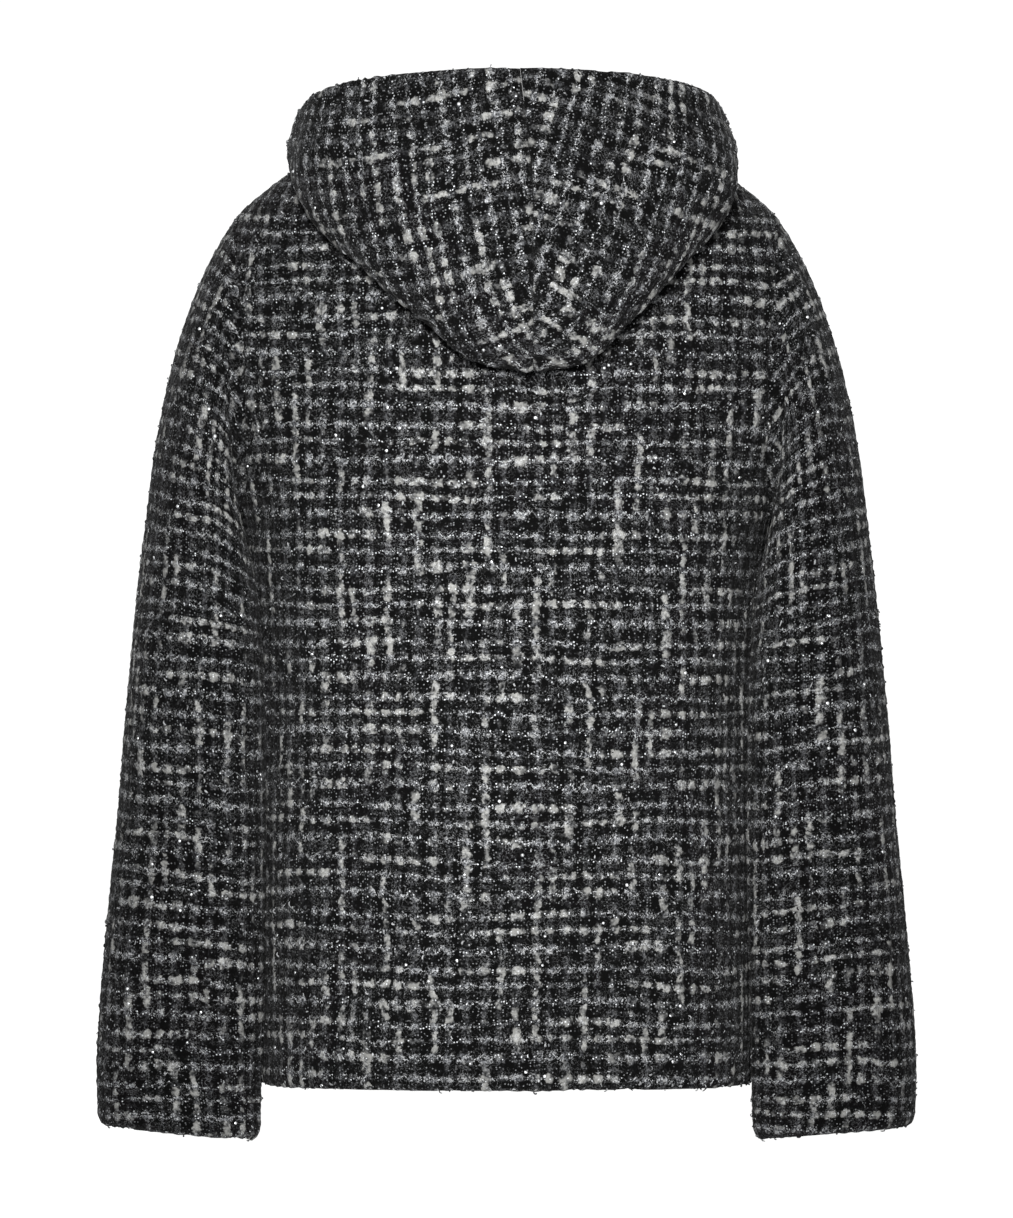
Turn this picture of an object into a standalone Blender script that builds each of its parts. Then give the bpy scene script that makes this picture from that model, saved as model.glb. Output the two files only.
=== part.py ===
"""Hooded tweed jacket, held out as if worn, with nobody in it.

Metres, +Z up. The wearer faces -Y and the wearer's left is +X. The origin is
the middle of the neck, level with the highest points of the shoulder seams.
Every piece is one wall of cloth: a back, two fronts, two sleeves and the two
halves of a hood that is worn down. Pieces meet edge to edge at their seams.
"""

import math

import bmesh
import bpy
import numpy as np

# Driving dimensions, metres. The cloth, and the gap that parts two pieces.
CLOTH = 0.003
SEAM_GAP = 0.0003
# The body.
HEM_HEIGHT = -0.6487
UNDERARM_HEIGHT = -0.2690
SHOULDER_TIP_HEIGHT = -0.0530
ARMHOLE_BACK_DEPTH = 0.069
ARMHOLE_FRONT_DEPTH = 0.069
NECK_DROP_BACK = 0.018
NECK_DROP_FRONT = 0.085
NECK_DROP_STARTS = -0.250
FRONT_OPENING_TOP = 0.0012
FRONT_OPENING_HEM = 0.0045
# How far the sleeves and the hood keep off the body where they lie against it.
SLEEVE_TO_BODY = 0.0016
HOOD_TO_BODY = 0.0014
CLEARANCE_ROUNDING = 0.002
ARMHOLE_RIM = 0.05
HOOD_REST_STARTS = 0.010
# The hood: its lean to the wearer's right, its folds and its stand at the neck.
HOOD_LEAN = -0.018
HOOD_FOLD_RADIUS = 0.012
HOOD_COLLAR_RADIUS = 0.0042
HOOD_LEAVES_SEAM = 0.002
HOOD_STANDS = 0.005

# Grid counts: how finely each piece is faceted.
BODY_ROWS = 10
BODY_ROWS_CROWD = 1.6
ARMHOLE_ROWS = 14
SHOULDER_ROWS = 5
SHOULDER_ROWS_CROWD = 1.1
BACK_COLUMNS = 22
FRONT_COLUMNS = 11
HOOD_STEPS = (1, 2, 4, 1, 1, 4, 4)
HOOD_ROLL_ROW = sum(HOOD_STEPS[:2])
HOOD_FOLD_ROW = sum(HOOD_STEPS[:4])
NORMAL_STEP = 1e-4
SHARPEST_CORNER = 0.3
SHARP_EDGE_ANGLE = math.radians(50.0)

# The body's level sections: how wide it is, where the back, the front and the
# side lie in depth, and how square the section is (2 is an ellipse).
BODY_COLUMNS = ("height", "half_width", "back", "front", "side", "squareness")
BODY_SECTIONS = (
    (-0.6487, 0.1690, 0.122, -0.134, -0.019, 2.4),
    (-0.5600, 0.1695, 0.119, -0.131, -0.019, 2.4),
    (-0.4600, 0.1700, 0.117, -0.130, -0.018, 2.4),
    (-0.3700, 0.1715, 0.118, -0.131, -0.015, 2.4),
    (-0.3200, 0.1740, 0.119, -0.132, -0.012, 2.38),
    (-0.2850, 0.1775, 0.120, -0.132, -0.010, 2.32),
    (-0.2600, 0.1825, 0.120, -0.131, -0.008, 2.25),
    (-0.2300, 0.1920, 0.120, -0.129, -0.007, 2.15),
    (-0.2000, 0.2050, 0.119, -0.125, -0.005, 2.1),
    (-0.1650, 0.2150, 0.117, -0.118, -0.004, 2.05),
    (-0.1300, 0.2180, 0.113, -0.108, -0.002, 2.05),
    (-0.0950, 0.2110, 0.106, -0.096, -0.001, 2.1),
    (-0.0700, 0.1970, 0.098, -0.084, 0.000, 2.15),
    (-0.0530, 0.1820, 0.090, -0.073, 0.000, 2.2),
    (-0.0400, 0.1670, 0.083, -0.064, 0.000, 2.2),
    (-0.0272, 0.1500, 0.075, -0.055, 0.000, 2.2),
    (-0.0130, 0.1250, 0.064, -0.043, 0.000, 2.2),
    (0.0000, 0.0950, 0.046, -0.030, 0.000, 2.2),
)

# How far the neckline has dropped, as a share of its full drop, from the
# shoulder seam (0) to the middle of the back or front (1).
NECKLINE = ("along", "drop")
NECKLINE_BACK = ((0.0, 0.0), (0.15, 0.02), (0.35, 0.14), (0.6, 0.5), (0.85, 0.92), (1.0, 1.0))
NECKLINE_FRONT = ((0.0, 0.0), (0.2, 0.01), (0.45, 0.09), (0.62, 0.27), (0.79, 0.62), (0.92, 0.92), (1.0, 1.0))

# The sleeve's sections from just past the armhole to the cuff: the outermost
# and the innermost point of each, half its depth and the depth of its middle.
SLEEVE_COLUMNS = ("outer_x", "outer_z", "inner_x", "inner_z", "half_depth", "middle_y")
SLEEVE_SECTIONS = (
    (0.1895, -0.0635, 0.1850, -0.2710, 0.0715, -0.003),
    (0.1980, -0.0775, 0.1815, -0.2800, 0.0730, -0.002),
    (0.2085, -0.0985, 0.1760, -0.2910, 0.0745, -0.001),
    (0.2180, -0.1230, 0.1705, -0.3040, 0.0755, 0.001),
    (0.2262, -0.1490, 0.1665, -0.3190, 0.0755, 0.003),
    (0.2335, -0.1790, 0.1635, -0.3370, 0.0750, 0.005),
    (0.2404, -0.2160, 0.1615, -0.3580, 0.0735, 0.007),
    (0.2460, -0.2600, 0.1605, -0.3820, 0.0715, 0.009),
    (0.2515, -0.3060, 0.1600, -0.4100, 0.0690, 0.011),
    (0.2565, -0.3560, 0.1598, -0.4420, 0.0665, 0.012),
    (0.2612, -0.4080, 0.1595, -0.4770, 0.0635, 0.012),
    (0.2655, -0.4620, 0.1595, -0.5150, 0.0605, 0.011),
    (0.2712, -0.5180, 0.1600, -0.5560, 0.0570, 0.009),
    (0.2766, -0.5770, 0.1605, -0.6010, 0.0535, 0.006),
    (0.2803, -0.6330, 0.1615, -0.6480, 0.0500, 0.003),
    (0.2795, -0.6780, 0.1640, -0.6870, 0.0475, 0.000),
)
# How far the first two rings leave the seam along the body cloth, and how far
# the second has gone on to the first section.
SLEEVE_LEAVES_SEAM = 0.0016
SLEEVE_TURNS = 0.42
SLEEVE_SQUARENESS = 2.2

# The hood's run from the middle of the front (0) round to the middle of the
# back (1): where the collar rolls over, where the fold of the pouch lies,
# where the pouch stands out most, and where the face edge is.
HOOD_COLUMNS = (
    "along", "roll_x", "roll_y", "roll_z", "fold_x", "fold_y", "fold_z",
    "bulge_x", "bulge_y", "bulge_z", "rim_x", "rim_y", "rim_z", "fold_share",
)
HOOD_SECTIONS = (
    (0.00, 0.002, -0.095, -0.074, 0.002, -0.101, -0.064, 0.002, -0.105, -0.054, 0.003, -0.108, -0.044, 0.0),
    (0.20, 0.052, -0.087, -0.051, 0.061, -0.095, -0.039, 0.068, -0.100, -0.028, 0.074, -0.102, -0.018, 0.0),
    (0.38, 0.094, -0.050, -0.012, 0.117, -0.054, -0.008, 0.129, -0.056, -0.001, 0.133, -0.055, 0.008, 0.3),
    (0.50, 0.104, 0.002, 0.014, 0.145, 0.008, -0.014, 0.152, 0.014, -0.003, 0.146, 0.024, 0.012, 0.7),
    (0.62, 0.092, 0.044, 0.014, 0.137, 0.072, -0.058, 0.148, 0.088, -0.024, 0.136, 0.088, 0.024, 1.0),
    (0.74, 0.070, 0.066, 0.013, 0.103, 0.108, -0.098, 0.112, 0.132, -0.048, 0.105, 0.117, 0.033, 1.0),
    (0.86, 0.041, 0.079, 0.012, 0.066, 0.126, -0.134, 0.068, 0.152, -0.068, 0.063, 0.134, 0.037, 1.0),
    (0.94, 0.018, 0.084, 0.011, 0.036, 0.131, -0.1590, 0.030, 0.160, -0.078, 0.028, 0.140, 0.0388, 1.0),
    (1.00, 0.000, 0.085, 0.011, 0.000, 0.133, -0.1660, 0.000, 0.162, -0.080, 0.000, 0.142, 0.0390, 1.0),
)

# Soft folds in the body cloth: where round the body (0 is the middle of the
# back, a quarter turn is the side), how high, how far they spread, how deep.
# Columns: turn, height, spread_turn, spread_height, depth.
BODY_FOLDS = (
    (0.60, -0.66, 0.20, 0.22, -0.0035),
    (-0.50, -0.66, 0.22, 0.26, -0.0040),
    (0.10, -0.66, 0.25, 0.20, 0.0020),
    (1.05, -0.36, 0.16, 0.09, -0.0030),
    (-1.08, -0.37, 0.16, 0.08, -0.0030),
    (2.35, -0.66, 0.24, 0.25, -0.0045),
    (-2.45, -0.66, 0.22, 0.23, -0.0040),
    (2.05, -0.30, 0.20, 0.08, -0.0030),
    (-2.00, -0.31, 0.20, 0.08, -0.0030),
)

# The pouch's lean, as a share of all of it: along the hood's run, and by height.
HOOD_LEAN_ALONG = ((0.10, 0.0), (0.40, 0.25), (0.55, 0.25), (1.0, 1.0))
HOOD_LEAN_UP = ((-0.04, 1.0), (0.04, 0.5))

COLOURS = {
    "back": (0.085, 0.085, 0.088),
    "front": (0.080, 0.080, 0.083),
    "sleeve": (0.075, 0.075, 0.078),
    "hood": (0.090, 0.090, 0.093),
}
CLOTH_ROUGHNESS = 0.9


def column(sections, names, name):
    """One named column of a table."""
    place = names.index(name)
    return np.array([row[place] for row in sections], dtype=float)


def smooth_curve(knots, values, at):
    """A smooth curve through the values, with no overshoot between them."""
    steps = np.diff(knots)
    slopes = np.diff(values) / steps
    tangents = np.empty(len(knots))
    tangents[0] = slopes[0]
    tangents[-1] = slopes[-1]
    flat = slopes[:-1] * slopes[1:] <= 0.0
    weight_a = 2.0 * steps[1:] + steps[:-1]
    weight_b = steps[1:] + 2.0 * steps[:-1]
    safe_a = np.where(flat, 1.0, slopes[:-1])
    safe_b = np.where(flat, 1.0, slopes[1:])
    inner = (weight_a + weight_b) / (weight_a / safe_a + weight_b / safe_b)
    tangents[1:-1] = np.where(flat, 0.0, inner)
    at = np.clip(np.asarray(at, dtype=float), knots[0], knots[-1])
    cell = np.clip(np.searchsorted(knots, at, side="right") - 1, 0, len(steps) - 1)
    t = (at - knots[cell]) / steps[cell]
    keep = (1.0 + 2.0 * t) * (1.0 - t) ** 2
    leave = t * (1.0 - t) ** 2
    reach = t * t * (3.0 - 2.0 * t)
    arrive = t * t * (t - 1.0)
    return (
        keep * values[cell]
        + leave * steps[cell] * tangents[cell]
        + reach * values[cell + 1]
        + arrive * steps[cell] * tangents[cell + 1]
    )


def body_size(name, height):
    """A size of the body's section at a height."""
    knots = column(BODY_SECTIONS, BODY_COLUMNS, "height")
    return smooth_curve(knots, column(BODY_SECTIONS, BODY_COLUMNS, name), height)


def fold_depth(turn, height):
    """How far the soft folds move the body cloth outwards."""
    moved = 0.0
    for at_turn, at_height, spread_turn, spread_height, depth in BODY_FOLDS:
        across = (turn - at_turn) / spread_turn
        along = (height - at_height) / spread_height
        moved = moved + depth * np.exp(-across * across - along * along)
    return moved


def body_point(turn, height):
    """A point of the body's outer face: turn 0 is the back, pi the front."""
    power = body_size("squareness", height)
    side = body_size("side", height)
    back = body_size("back", height) - side
    front = side - body_size("front", height)
    across = np.sin(turn)
    along = np.cos(turn)
    radius = (np.abs(across) ** power + np.abs(along) ** power) ** (-1.0 / power)
    depth = np.where(along >= 0.0, back, front)
    out = fold_depth(turn, height)
    x = body_size("half_width", height) * radius * across + out * across
    y = side + depth * radius * along + out * along
    return np.stack([x, y, np.broadcast_to(height, x.shape)], axis=-1)


def unit(vectors):
    """Vectors of length one."""
    return vectors / np.maximum(np.linalg.norm(vectors, axis=-1, keepdims=True), 1e-12)


def body_normal(turn, height):
    """The direction straight out of the body at a point."""
    step = NORMAL_STEP
    round_body = body_point(turn + step, height) - body_point(turn - step, height)
    up_body = body_point(turn, np.minimum(height + step, 0.0)) - body_point(turn, height - step)
    return unit(np.cross(up_body, round_body))


def armhole_turn(height, drop_depth, forward):
    """The turn at which the body reaches a depth in front of or behind its side."""
    power = body_size("squareness", height)
    side = body_size("side", height)
    if forward:
        reach = side - body_size("front", height)
    else:
        reach = body_size("back", height) - side
    ratio = np.clip(drop_depth / reach, 1e-9, 0.999)
    return np.arctan2((ratio ** -power - 1.0) ** (1.0 / power), 1.0)


def edge_rows(forward):
    """The heights and turns of a panel's side edge, from the hem to the neck."""
    middle = 0.5 * (UNDERARM_HEIGHT + SHOULDER_TIP_HEIGHT)
    half = 0.5 * (SHOULDER_TIP_HEIGHT - UNDERARM_HEIGHT)
    depth = ARMHOLE_FRONT_DEPTH if forward else ARMHOLE_BACK_DEPTH
    heights = []
    turns = []
    for row in range(BODY_ROWS):
        up_side = 1.0 - (1.0 - row / BODY_ROWS) ** BODY_ROWS_CROWD
        heights.append(HEM_HEIGHT + (UNDERARM_HEIGHT - HEM_HEIGHT) * up_side)
        turns.append(0.5 * math.pi)
    for row in range(ARMHOLE_ROWS + 1):
        around = math.pi * row / ARMHOLE_ROWS
        height = middle - half * math.cos(around)
        heights.append(height)
        turns.append(float(armhole_turn(height, depth * math.sin(around), forward)))
    for row in range(1, SHOULDER_ROWS + 1):
        heights.append(SHOULDER_TIP_HEIGHT * (1.0 - row / SHOULDER_ROWS) ** SHOULDER_ROWS_CROWD)
        turns.append(0.5 * math.pi)
    return np.array(heights), np.array(turns)


def panel_grid(forward, across):
    """Turns and heights of a half panel, from its middle (0) to its edge (1)."""
    edge_height, edge_turn = edge_rows(forward)
    neckline = NECKLINE_FRONT if forward else NECKLINE_BACK
    drop_full = NECK_DROP_FRONT if forward else NECK_DROP_BACK
    from_seam = 1.0 - np.abs(across)
    drop = drop_full * smooth_curve(
        column(neckline, NECKLINE, "along"), column(neckline, NECKLINE, "drop"), from_seam
    )
    even_height = edge_height.copy()
    armhole = slice(BODY_ROWS, BODY_ROWS + ARMHOLE_ROWS + 1)
    even_height[armhole] = np.linspace(UNDERARM_HEIGHT, SHOULDER_TIP_HEIGHT, ARMHOLE_ROWS + 1)
    inside = 1.0 - across ** 4
    heights = edge_height[:, None] + (even_height - edge_height)[:, None] * inside[None, :]
    share = np.clip(heights / NECK_DROP_STARTS, 0.0, 1.0)
    heights = heights - (1.0 - share) ** 2 * drop[None, :]
    if forward:
        width = body_size("half_width", heights)
        down = np.clip(heights / HEM_HEIGHT, 0.0, 1.0)
        opening = FRONT_OPENING_TOP + (FRONT_OPENING_HEM - FRONT_OPENING_TOP) * down
        middle = math.pi - opening / width
        turns = middle + (math.pi - edge_turn[:, None] - middle) * across[None, :]
    else:
        turns = edge_turn[:, None] * across[None, :]
    return turns, heights


def edge_moves(points, normals, distance):
    """Moves that bring a closed loop of edge points in by a distance."""
    ahead = np.roll(points, -1, axis=0) - points
    inwards = unit(np.cross(normals, ahead))
    before = np.roll(inwards, 1, axis=0)
    cosine = np.sum(inwards * before, axis=1, keepdims=True)
    return distance * (inwards + before) / np.maximum(1.0 + cosine, SHARPEST_CORNER)


def grid_loop(rows, columns):
    """The row and column of each edge point of a grid, in order round it."""
    loop = [(0, c) for c in range(columns)]
    loop += [(r, columns - 1) for r in range(1, rows)]
    loop += [(rows - 1, c) for c in range(columns - 2, -1, -1)]
    loop += [(r, 0) for r in range(rows - 2, 0, -1)]
    return np.array(loop)


def trim_grid(points, normals, distance):
    """The grid with its edges moved in by a distance, within its own surface."""
    loop = grid_loop(points.shape[0], points.shape[1])
    edge = points[loop[:, 0], loop[:, 1]]
    edge_normals = normals[loop[:, 0], loop[:, 1]]
    trimmed = points.copy()
    trimmed[loop[:, 0], loop[:, 1]] += edge_moves(edge, edge_normals, distance)
    return trimmed


def grid_normals(points, closed):
    """Directions out of a grid whose rows run up it and columns round it."""
    up = np.gradient(points, axis=0)
    if closed:
        round_it = np.roll(points, -1, axis=1) - np.roll(points, 1, axis=1)
    else:
        round_it = np.gradient(points, axis=1)
    return unit(np.cross(round_it, up))


def cloth_material(name, colour):
    """Woven wool: no metal and almost no shine."""
    material = bpy.data.materials.new(name)
    material.use_nodes = True
    shader = material.node_tree.nodes["Principled BSDF"]
    shader.inputs["Base Color"].default_value = (*colour, 1.0)
    shader.inputs["Roughness"].default_value = CLOTH_ROUGHNESS
    shader.inputs["Metallic"].default_value = 0.0
    return material


def add_wall(name, outer, inner, closed, material):
    """A closed wall between an outer and an inner grid of points."""
    rows, columns = outer.shape[:2]
    mesh = bmesh.new()
    out, into = [[[mesh.verts.new(point) for point in row] for row in grid] for grid in (outer, inner)]
    spans = range(columns) if closed else range(columns - 1)
    for row in range(rows - 1):
        for here in spans:
            beside = (here + 1) % columns
            mesh.faces.new((out[row][here], out[row][beside], out[row + 1][beside], out[row + 1][here]))
            mesh.faces.new((into[row][here], into[row + 1][here], into[row + 1][beside], into[row][beside]))
    for here in spans:
        beside = (here + 1) % columns
        mesh.faces.new((out[0][here], into[0][here], into[0][beside], out[0][beside]))
        mesh.faces.new((out[-1][here], out[-1][beside], into[-1][beside], into[-1][here]))
    if not closed:
        for row in range(rows - 1):
            mesh.faces.new((out[row][0], out[row + 1][0], into[row + 1][0], into[row][0]))
            mesh.faces.new((out[row][-1], into[row][-1], into[row + 1][-1], out[row + 1][-1]))
    bmesh.ops.triangulate(mesh, faces=mesh.faces)
    bmesh.ops.recalc_face_normals(mesh, faces=mesh.faces)
    data = bpy.data.meshes.new(name)
    mesh.to_mesh(data)
    mesh.free()
    data.shade_smooth()
    data.set_sharp_from_angle(angle=SHARP_EDGE_ANGLE)
    data.materials.append(material)
    piece = bpy.data.objects.new(name, data)
    bpy.context.scene.collection.objects.link(piece)
    return piece


def add_back():
    """The back panel, from side seam to side seam."""
    across = np.linspace(-1.0, 1.0, BACK_COLUMNS + 1)
    turns, heights = panel_grid(False, across)
    normals = body_normal(turns, heights)
    points = trim_grid(body_point(turns, heights), -normals, 0.5 * SEAM_GAP)
    material = cloth_material("tweed_back", COLOURS["back"])
    add_wall("back", points, points - CLOTH * normals, False, material)


def add_front(name, sign):
    """One front panel, from the front opening to the side seam."""
    across = np.linspace(0.0, 1.0, FRONT_COLUMNS + 1)
    turns, heights = panel_grid(True, across)
    turns = sign * turns
    normals = body_normal(turns, heights)
    points = trim_grid(body_point(turns, heights), sign * normals, 0.5 * SEAM_GAP)
    material = cloth_material("tweed_" + name, COLOURS["front"])
    add_wall(name, points, points - CLOTH * normals, False, material)


def armhole_ring():
    """Turns and heights round the left armhole: up the back, down the front."""
    ring_turns = []
    ring_heights = []
    for forward in (False, True):
        heights, turns = edge_rows(forward)
        first = BODY_ROWS
        last = BODY_ROWS + ARMHOLE_ROWS
        rows = range(first, last) if not forward else range(last, first, -1)
        for row in rows:
            ring_heights.append(heights[row])
            ring_turns.append(math.pi - turns[row] if forward else turns[row])
    return np.array(ring_turns), np.array(ring_heights)


def soft_greater(values, least, rounding):
    """The greater of two values, with a rounded change from one to the other."""
    return 0.5 * (values + least + np.sqrt((values - least) ** 2 + rounding ** 2))


def body_reach(points):
    """How deep the body's section is before or behind its side, at each point."""
    side = body_size("side", points[..., 2])
    behind = points[..., 1] >= side
    back = body_size("back", points[..., 2]) - side
    front = side - body_size("front", points[..., 2])
    return side, np.where(behind, back, front)


def sleeve_clear_of_body(points):
    """The sleeve beside the body, pushed out until its cloth clears it."""
    heights = points[..., 2]
    power = body_size("squareness", heights)
    side, reach = body_reach(points)
    offset = points[..., 1] - side
    share = np.clip(np.abs(offset) / reach, 0.0, 1.0)
    wall = body_size("half_width", heights) * (1.0 - share ** power) ** (1.0 / power)
    pushed = soft_greater(points[..., 0], wall + SLEEVE_TO_BODY, CLEARANCE_ROUNDING)
    middle = 0.5 * (UNDERARM_HEIGHT + SHOULDER_TIP_HEIGHT)
    half = 0.5 * (SHOULDER_TIP_HEIGHT - UNDERARM_HEIGHT)
    depth = np.where(offset >= 0.0, ARMHOLE_BACK_DEPTH, ARMHOLE_FRONT_DEPTH)
    past_armhole = (offset / depth) ** 2 + ((heights - middle) / half) ** 2 - 1.0
    over_cloth = np.clip(past_armhole / ARMHOLE_RIM, 0.0, 1.0)
    moved = points.copy()
    moved[..., 0] += (pushed - points[..., 0]) * over_cloth
    return moved


def hood_clear_of_body(points):
    """The hood behind the body, pushed back until its cloth clears it."""
    heights = points[..., 2]
    power = body_size("squareness", heights)
    side, reach = body_reach(points)
    share = np.clip(np.abs(points[..., 0]) / body_size("half_width", heights), 0.0, 1.0)
    wall = side + reach * (1.0 - share ** power) ** (1.0 / power)
    pushed = soft_greater(points[..., 1], wall + HOOD_TO_BODY, CLEARANCE_ROUNDING)
    behind = np.clip((points[..., 1] - side) / HOOD_REST_STARTS, 0.0, 1.0)
    beyond_seam = np.clip(np.arange(len(points)) / HOOD_ROLL_ROW, 0.0, 1.0)[:, None]
    moved = points.copy()
    moved[..., 1] += (pushed - points[..., 1]) * behind * beyond_seam
    return moved


def sleeve_points():
    """Outer and inner grids of the left sleeve, from the armhole to the cuff."""
    turns, heights = armhole_ring()
    count = len(turns)
    around = 2.0 * math.pi * np.arange(count) / count
    across = -np.cos(around)
    beside = np.sin(around)
    power = SLEEVE_SQUARENESS
    radius = (np.abs(across) ** power + np.abs(beside) ** power) ** (-1.0 / power)
    sections = []
    for section in SLEEVE_SECTIONS:
        size = dict(zip(SLEEVE_COLUMNS, section))
        outer = np.array([size["outer_x"], size["middle_y"], size["outer_z"]])
        inner = np.array([size["inner_x"], size["middle_y"], size["inner_z"]])
        ring = 0.5 * (outer + inner) + 0.5 * (outer - inner) * (across * radius)[:, None]
        ring[:, 1] += size["half_depth"] * beside * radius
        sections.append(sleeve_clear_of_body(ring))
    seam = body_point(turns, heights)
    seam_normals = body_normal(turns, heights)
    away = edge_moves(seam, seam_normals, 1.0)
    first = seam + away * 0.5 * SEAM_GAP
    second = seam + away * SLEEVE_LEAVES_SEAM
    third = second + (sections[0] - second) * SLEEVE_TURNS
    outer = np.array([first, second, third] + sections)
    normals = grid_normals(outer, True)
    normals[0] = seam_normals
    return outer, outer - CLOTH * normals


def add_sleeve(name, sign):
    """One sleeve, a tube from its armhole to its open cuff."""
    outer, inner = sleeve_points()
    mirror = np.array([sign, 1.0, 1.0])
    material = cloth_material("tweed_" + name, COLOURS["sleeve"])
    add_wall(name, outer * mirror, inner * mirror, True, material)


def neck_edge():
    """Turns and heights of the left neckline, from the front to the back."""
    front = panel_grid(True, np.linspace(0.0, 1.0, FRONT_COLUMNS + 1))
    back = panel_grid(False, np.linspace(0.0, 1.0, BACK_COLUMNS // 2 + 1))
    turns = np.concatenate([front[0][-1], back[0][-1][::-1][1:]])
    heights = np.concatenate([front[1][-1], back[1][-1][::-1][1:]])
    return turns, heights


def hood_size(name, along):
    """A coordinate of the hood at a station along its run."""
    knots = column(HOOD_SECTIONS, HOOD_COLUMNS, "along")
    return smooth_curve(knots, column(HOOD_SECTIONS, HOOD_COLUMNS, name), along)


def hood_curve(name, along):
    """One of the hood's named lines, as points."""
    return np.stack([hood_size(name + axis, along) for axis in ("_x", "_y", "_z")], axis=-1)


def spline(controls, counts):
    """A smooth path through rows of control points, a count of steps in each."""
    lead_in = 2 * controls[:1] - controls[1:2]
    lead_out = 2 * controls[-1:] - controls[-2:-1]
    ends = np.concatenate([lead_in, controls, lead_out])
    path = []
    for leg, count in enumerate(counts):
        before, start, stop, after = ends[leg:leg + 4]
        length = np.linalg.norm(stop - start, axis=-1, keepdims=True)
        into = np.linalg.norm(start - before, axis=-1, keepdims=True)
        beyond = np.linalg.norm(after - stop, axis=-1, keepdims=True)
        leave = unit(unit(start - before) * length + unit(stop - start) * into) * length
        arrive = unit(unit(stop - start) * beyond + unit(after - stop) * length) * length
        for step in range(count):
            t = step / count
            path.append(
                (1 + 2 * t) * (1 - t) ** 2 * start
                + t * (1 - t) ** 2 * leave
                + t * t * (3 - 2 * t) * stop
                + t * t * (t - 1) * arrive
            )
    path.append(controls[-1])
    return np.array(path)


def hood_lean(points, along):
    """How far the pouch hangs to one side: most at its tip, none at the neck."""
    rows = np.arange(len(points))
    past_roll = np.clip((rows - HOOD_ROLL_ROW) / (HOOD_FOLD_ROW - HOOD_ROLL_ROW), 0.0, 1.0)
    share = np.interp(along, *zip(*HOOD_LEAN_ALONG))
    hangs = np.interp(points[..., 2], *zip(*HOOD_LEAN_UP))
    return HOOD_LEAN * past_roll[:, None] * share[None, :] * hangs


def hood_points(sign):
    """The outer grid of one half of the hood, from the neck seam to the rim."""
    turns, heights = neck_edge()
    seam = body_point(turns, heights)
    seam_normals = body_normal(turns, heights)
    into_neck = unit(np.cross(seam_normals, np.gradient(seam, axis=0)))
    upwards = np.array([0.0, 0.0, 1.0])
    rise = seam + into_neck * HOOD_LEAVES_SEAM + upwards * HOOD_STANDS
    rise[-1, 0] = 0.0
    along = np.linspace(0.0, 1.0, len(turns))
    roll = hood_curve("roll", along)
    fold = hood_curve("fold", along)
    bulge = hood_curve("bulge", along)
    rim = hood_curve("rim", along)
    share = hood_size("fold_share", along)[:, None]
    radius = HOOD_COLLAR_RADIUS + (HOOD_FOLD_RADIUS - HOOD_COLLAR_RADIUS) * share
    outwards = unit(fold * np.array([1.0, 1.0, 0.0]))
    lift = upwards * radius * share
    fold_in = fold - (outwards * share + unit(fold - roll) * (1.0 - share)) * radius + lift
    fold_out = fold + (outwards * share + unit(bulge - fold) * (1.0 - share)) * radius + lift
    points = spline(np.array([seam, rise, roll, fold_in, fold, fold_out, bulge, rim]), HOOD_STEPS)
    points[..., 0] = sign * points[..., 0] + hood_lean(points, along)
    mirror = np.array([sign, 1.0, 1.0])
    return hood_clear_of_body(points), seam_normals * mirror


def add_hood(name, sign):
    """One half of the hood, from the neck seam down, round and up to the rim."""
    points, seam_normals = hood_points(sign)
    normals = sign * grid_normals(points, False)
    normals[0] = seam_normals
    up_middle = np.gradient(points[:, -1], axis=0)
    level = np.zeros(len(points))
    normals[:, -1] = unit(np.stack([level, up_middle[:, 2], -up_middle[:, 1]], axis=-1))
    outer = trim_grid(points, sign * normals, 0.5 * SEAM_GAP)
    material = cloth_material("tweed_" + name, COLOURS["hood"])
    add_wall(name, outer, outer - CLOTH * normals, False, material)


def main():
    for old in list(bpy.data.objects):
        bpy.data.objects.remove(old, do_unlink=True)
    add_back()
    add_front("front_left", 1)
    add_front("front_right", -1)
    add_sleeve("sleeve_left", 1)
    add_sleeve("sleeve_right", -1)
    add_hood("hood_left", 1)
    add_hood("hood_right", -1)


main()
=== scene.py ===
"""Looks of a hooded boucle tweed jacket, laid out as a Blender add-on and run as a script.

Every panel is a thin shell of cloth on its solid's form, woven by one table of steps:
the same steps raise the yarns in the mesh and colour them in the material. Short curls
of yarn and sequins are separate meshes that lie on the shells. Metres, +Z up, in the
frame's own axes: the wearer faces -Y and the wearer's left is +X.
"""

import math
from collections import namedtuple

import bmesh
import bpy
import numpy as np
from mathutils import Matrix, Vector


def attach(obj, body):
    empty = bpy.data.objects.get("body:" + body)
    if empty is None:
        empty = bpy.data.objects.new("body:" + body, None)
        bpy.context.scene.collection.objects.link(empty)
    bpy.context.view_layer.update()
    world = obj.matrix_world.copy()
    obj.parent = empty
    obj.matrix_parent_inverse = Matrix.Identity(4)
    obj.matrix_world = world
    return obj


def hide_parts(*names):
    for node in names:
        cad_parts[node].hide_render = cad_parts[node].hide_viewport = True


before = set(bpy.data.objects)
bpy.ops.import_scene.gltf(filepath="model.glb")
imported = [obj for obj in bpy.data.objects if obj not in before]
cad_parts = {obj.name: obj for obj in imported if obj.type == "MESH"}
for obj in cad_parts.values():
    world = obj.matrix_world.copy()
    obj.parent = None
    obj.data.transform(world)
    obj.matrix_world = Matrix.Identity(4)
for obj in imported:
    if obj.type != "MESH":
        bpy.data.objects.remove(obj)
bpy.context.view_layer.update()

bl_info = {
    "name": "Boucle Tweed Jacket",
    "version": (1, 0, 0),
    "blender": (4, 5, 0),
    "location": "View3D > Sidebar > Tweed Jacket",
    "description": "Weaves the panels of a hooded boucle tweed jacket over its solids",
    "category": "Object",
}

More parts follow.
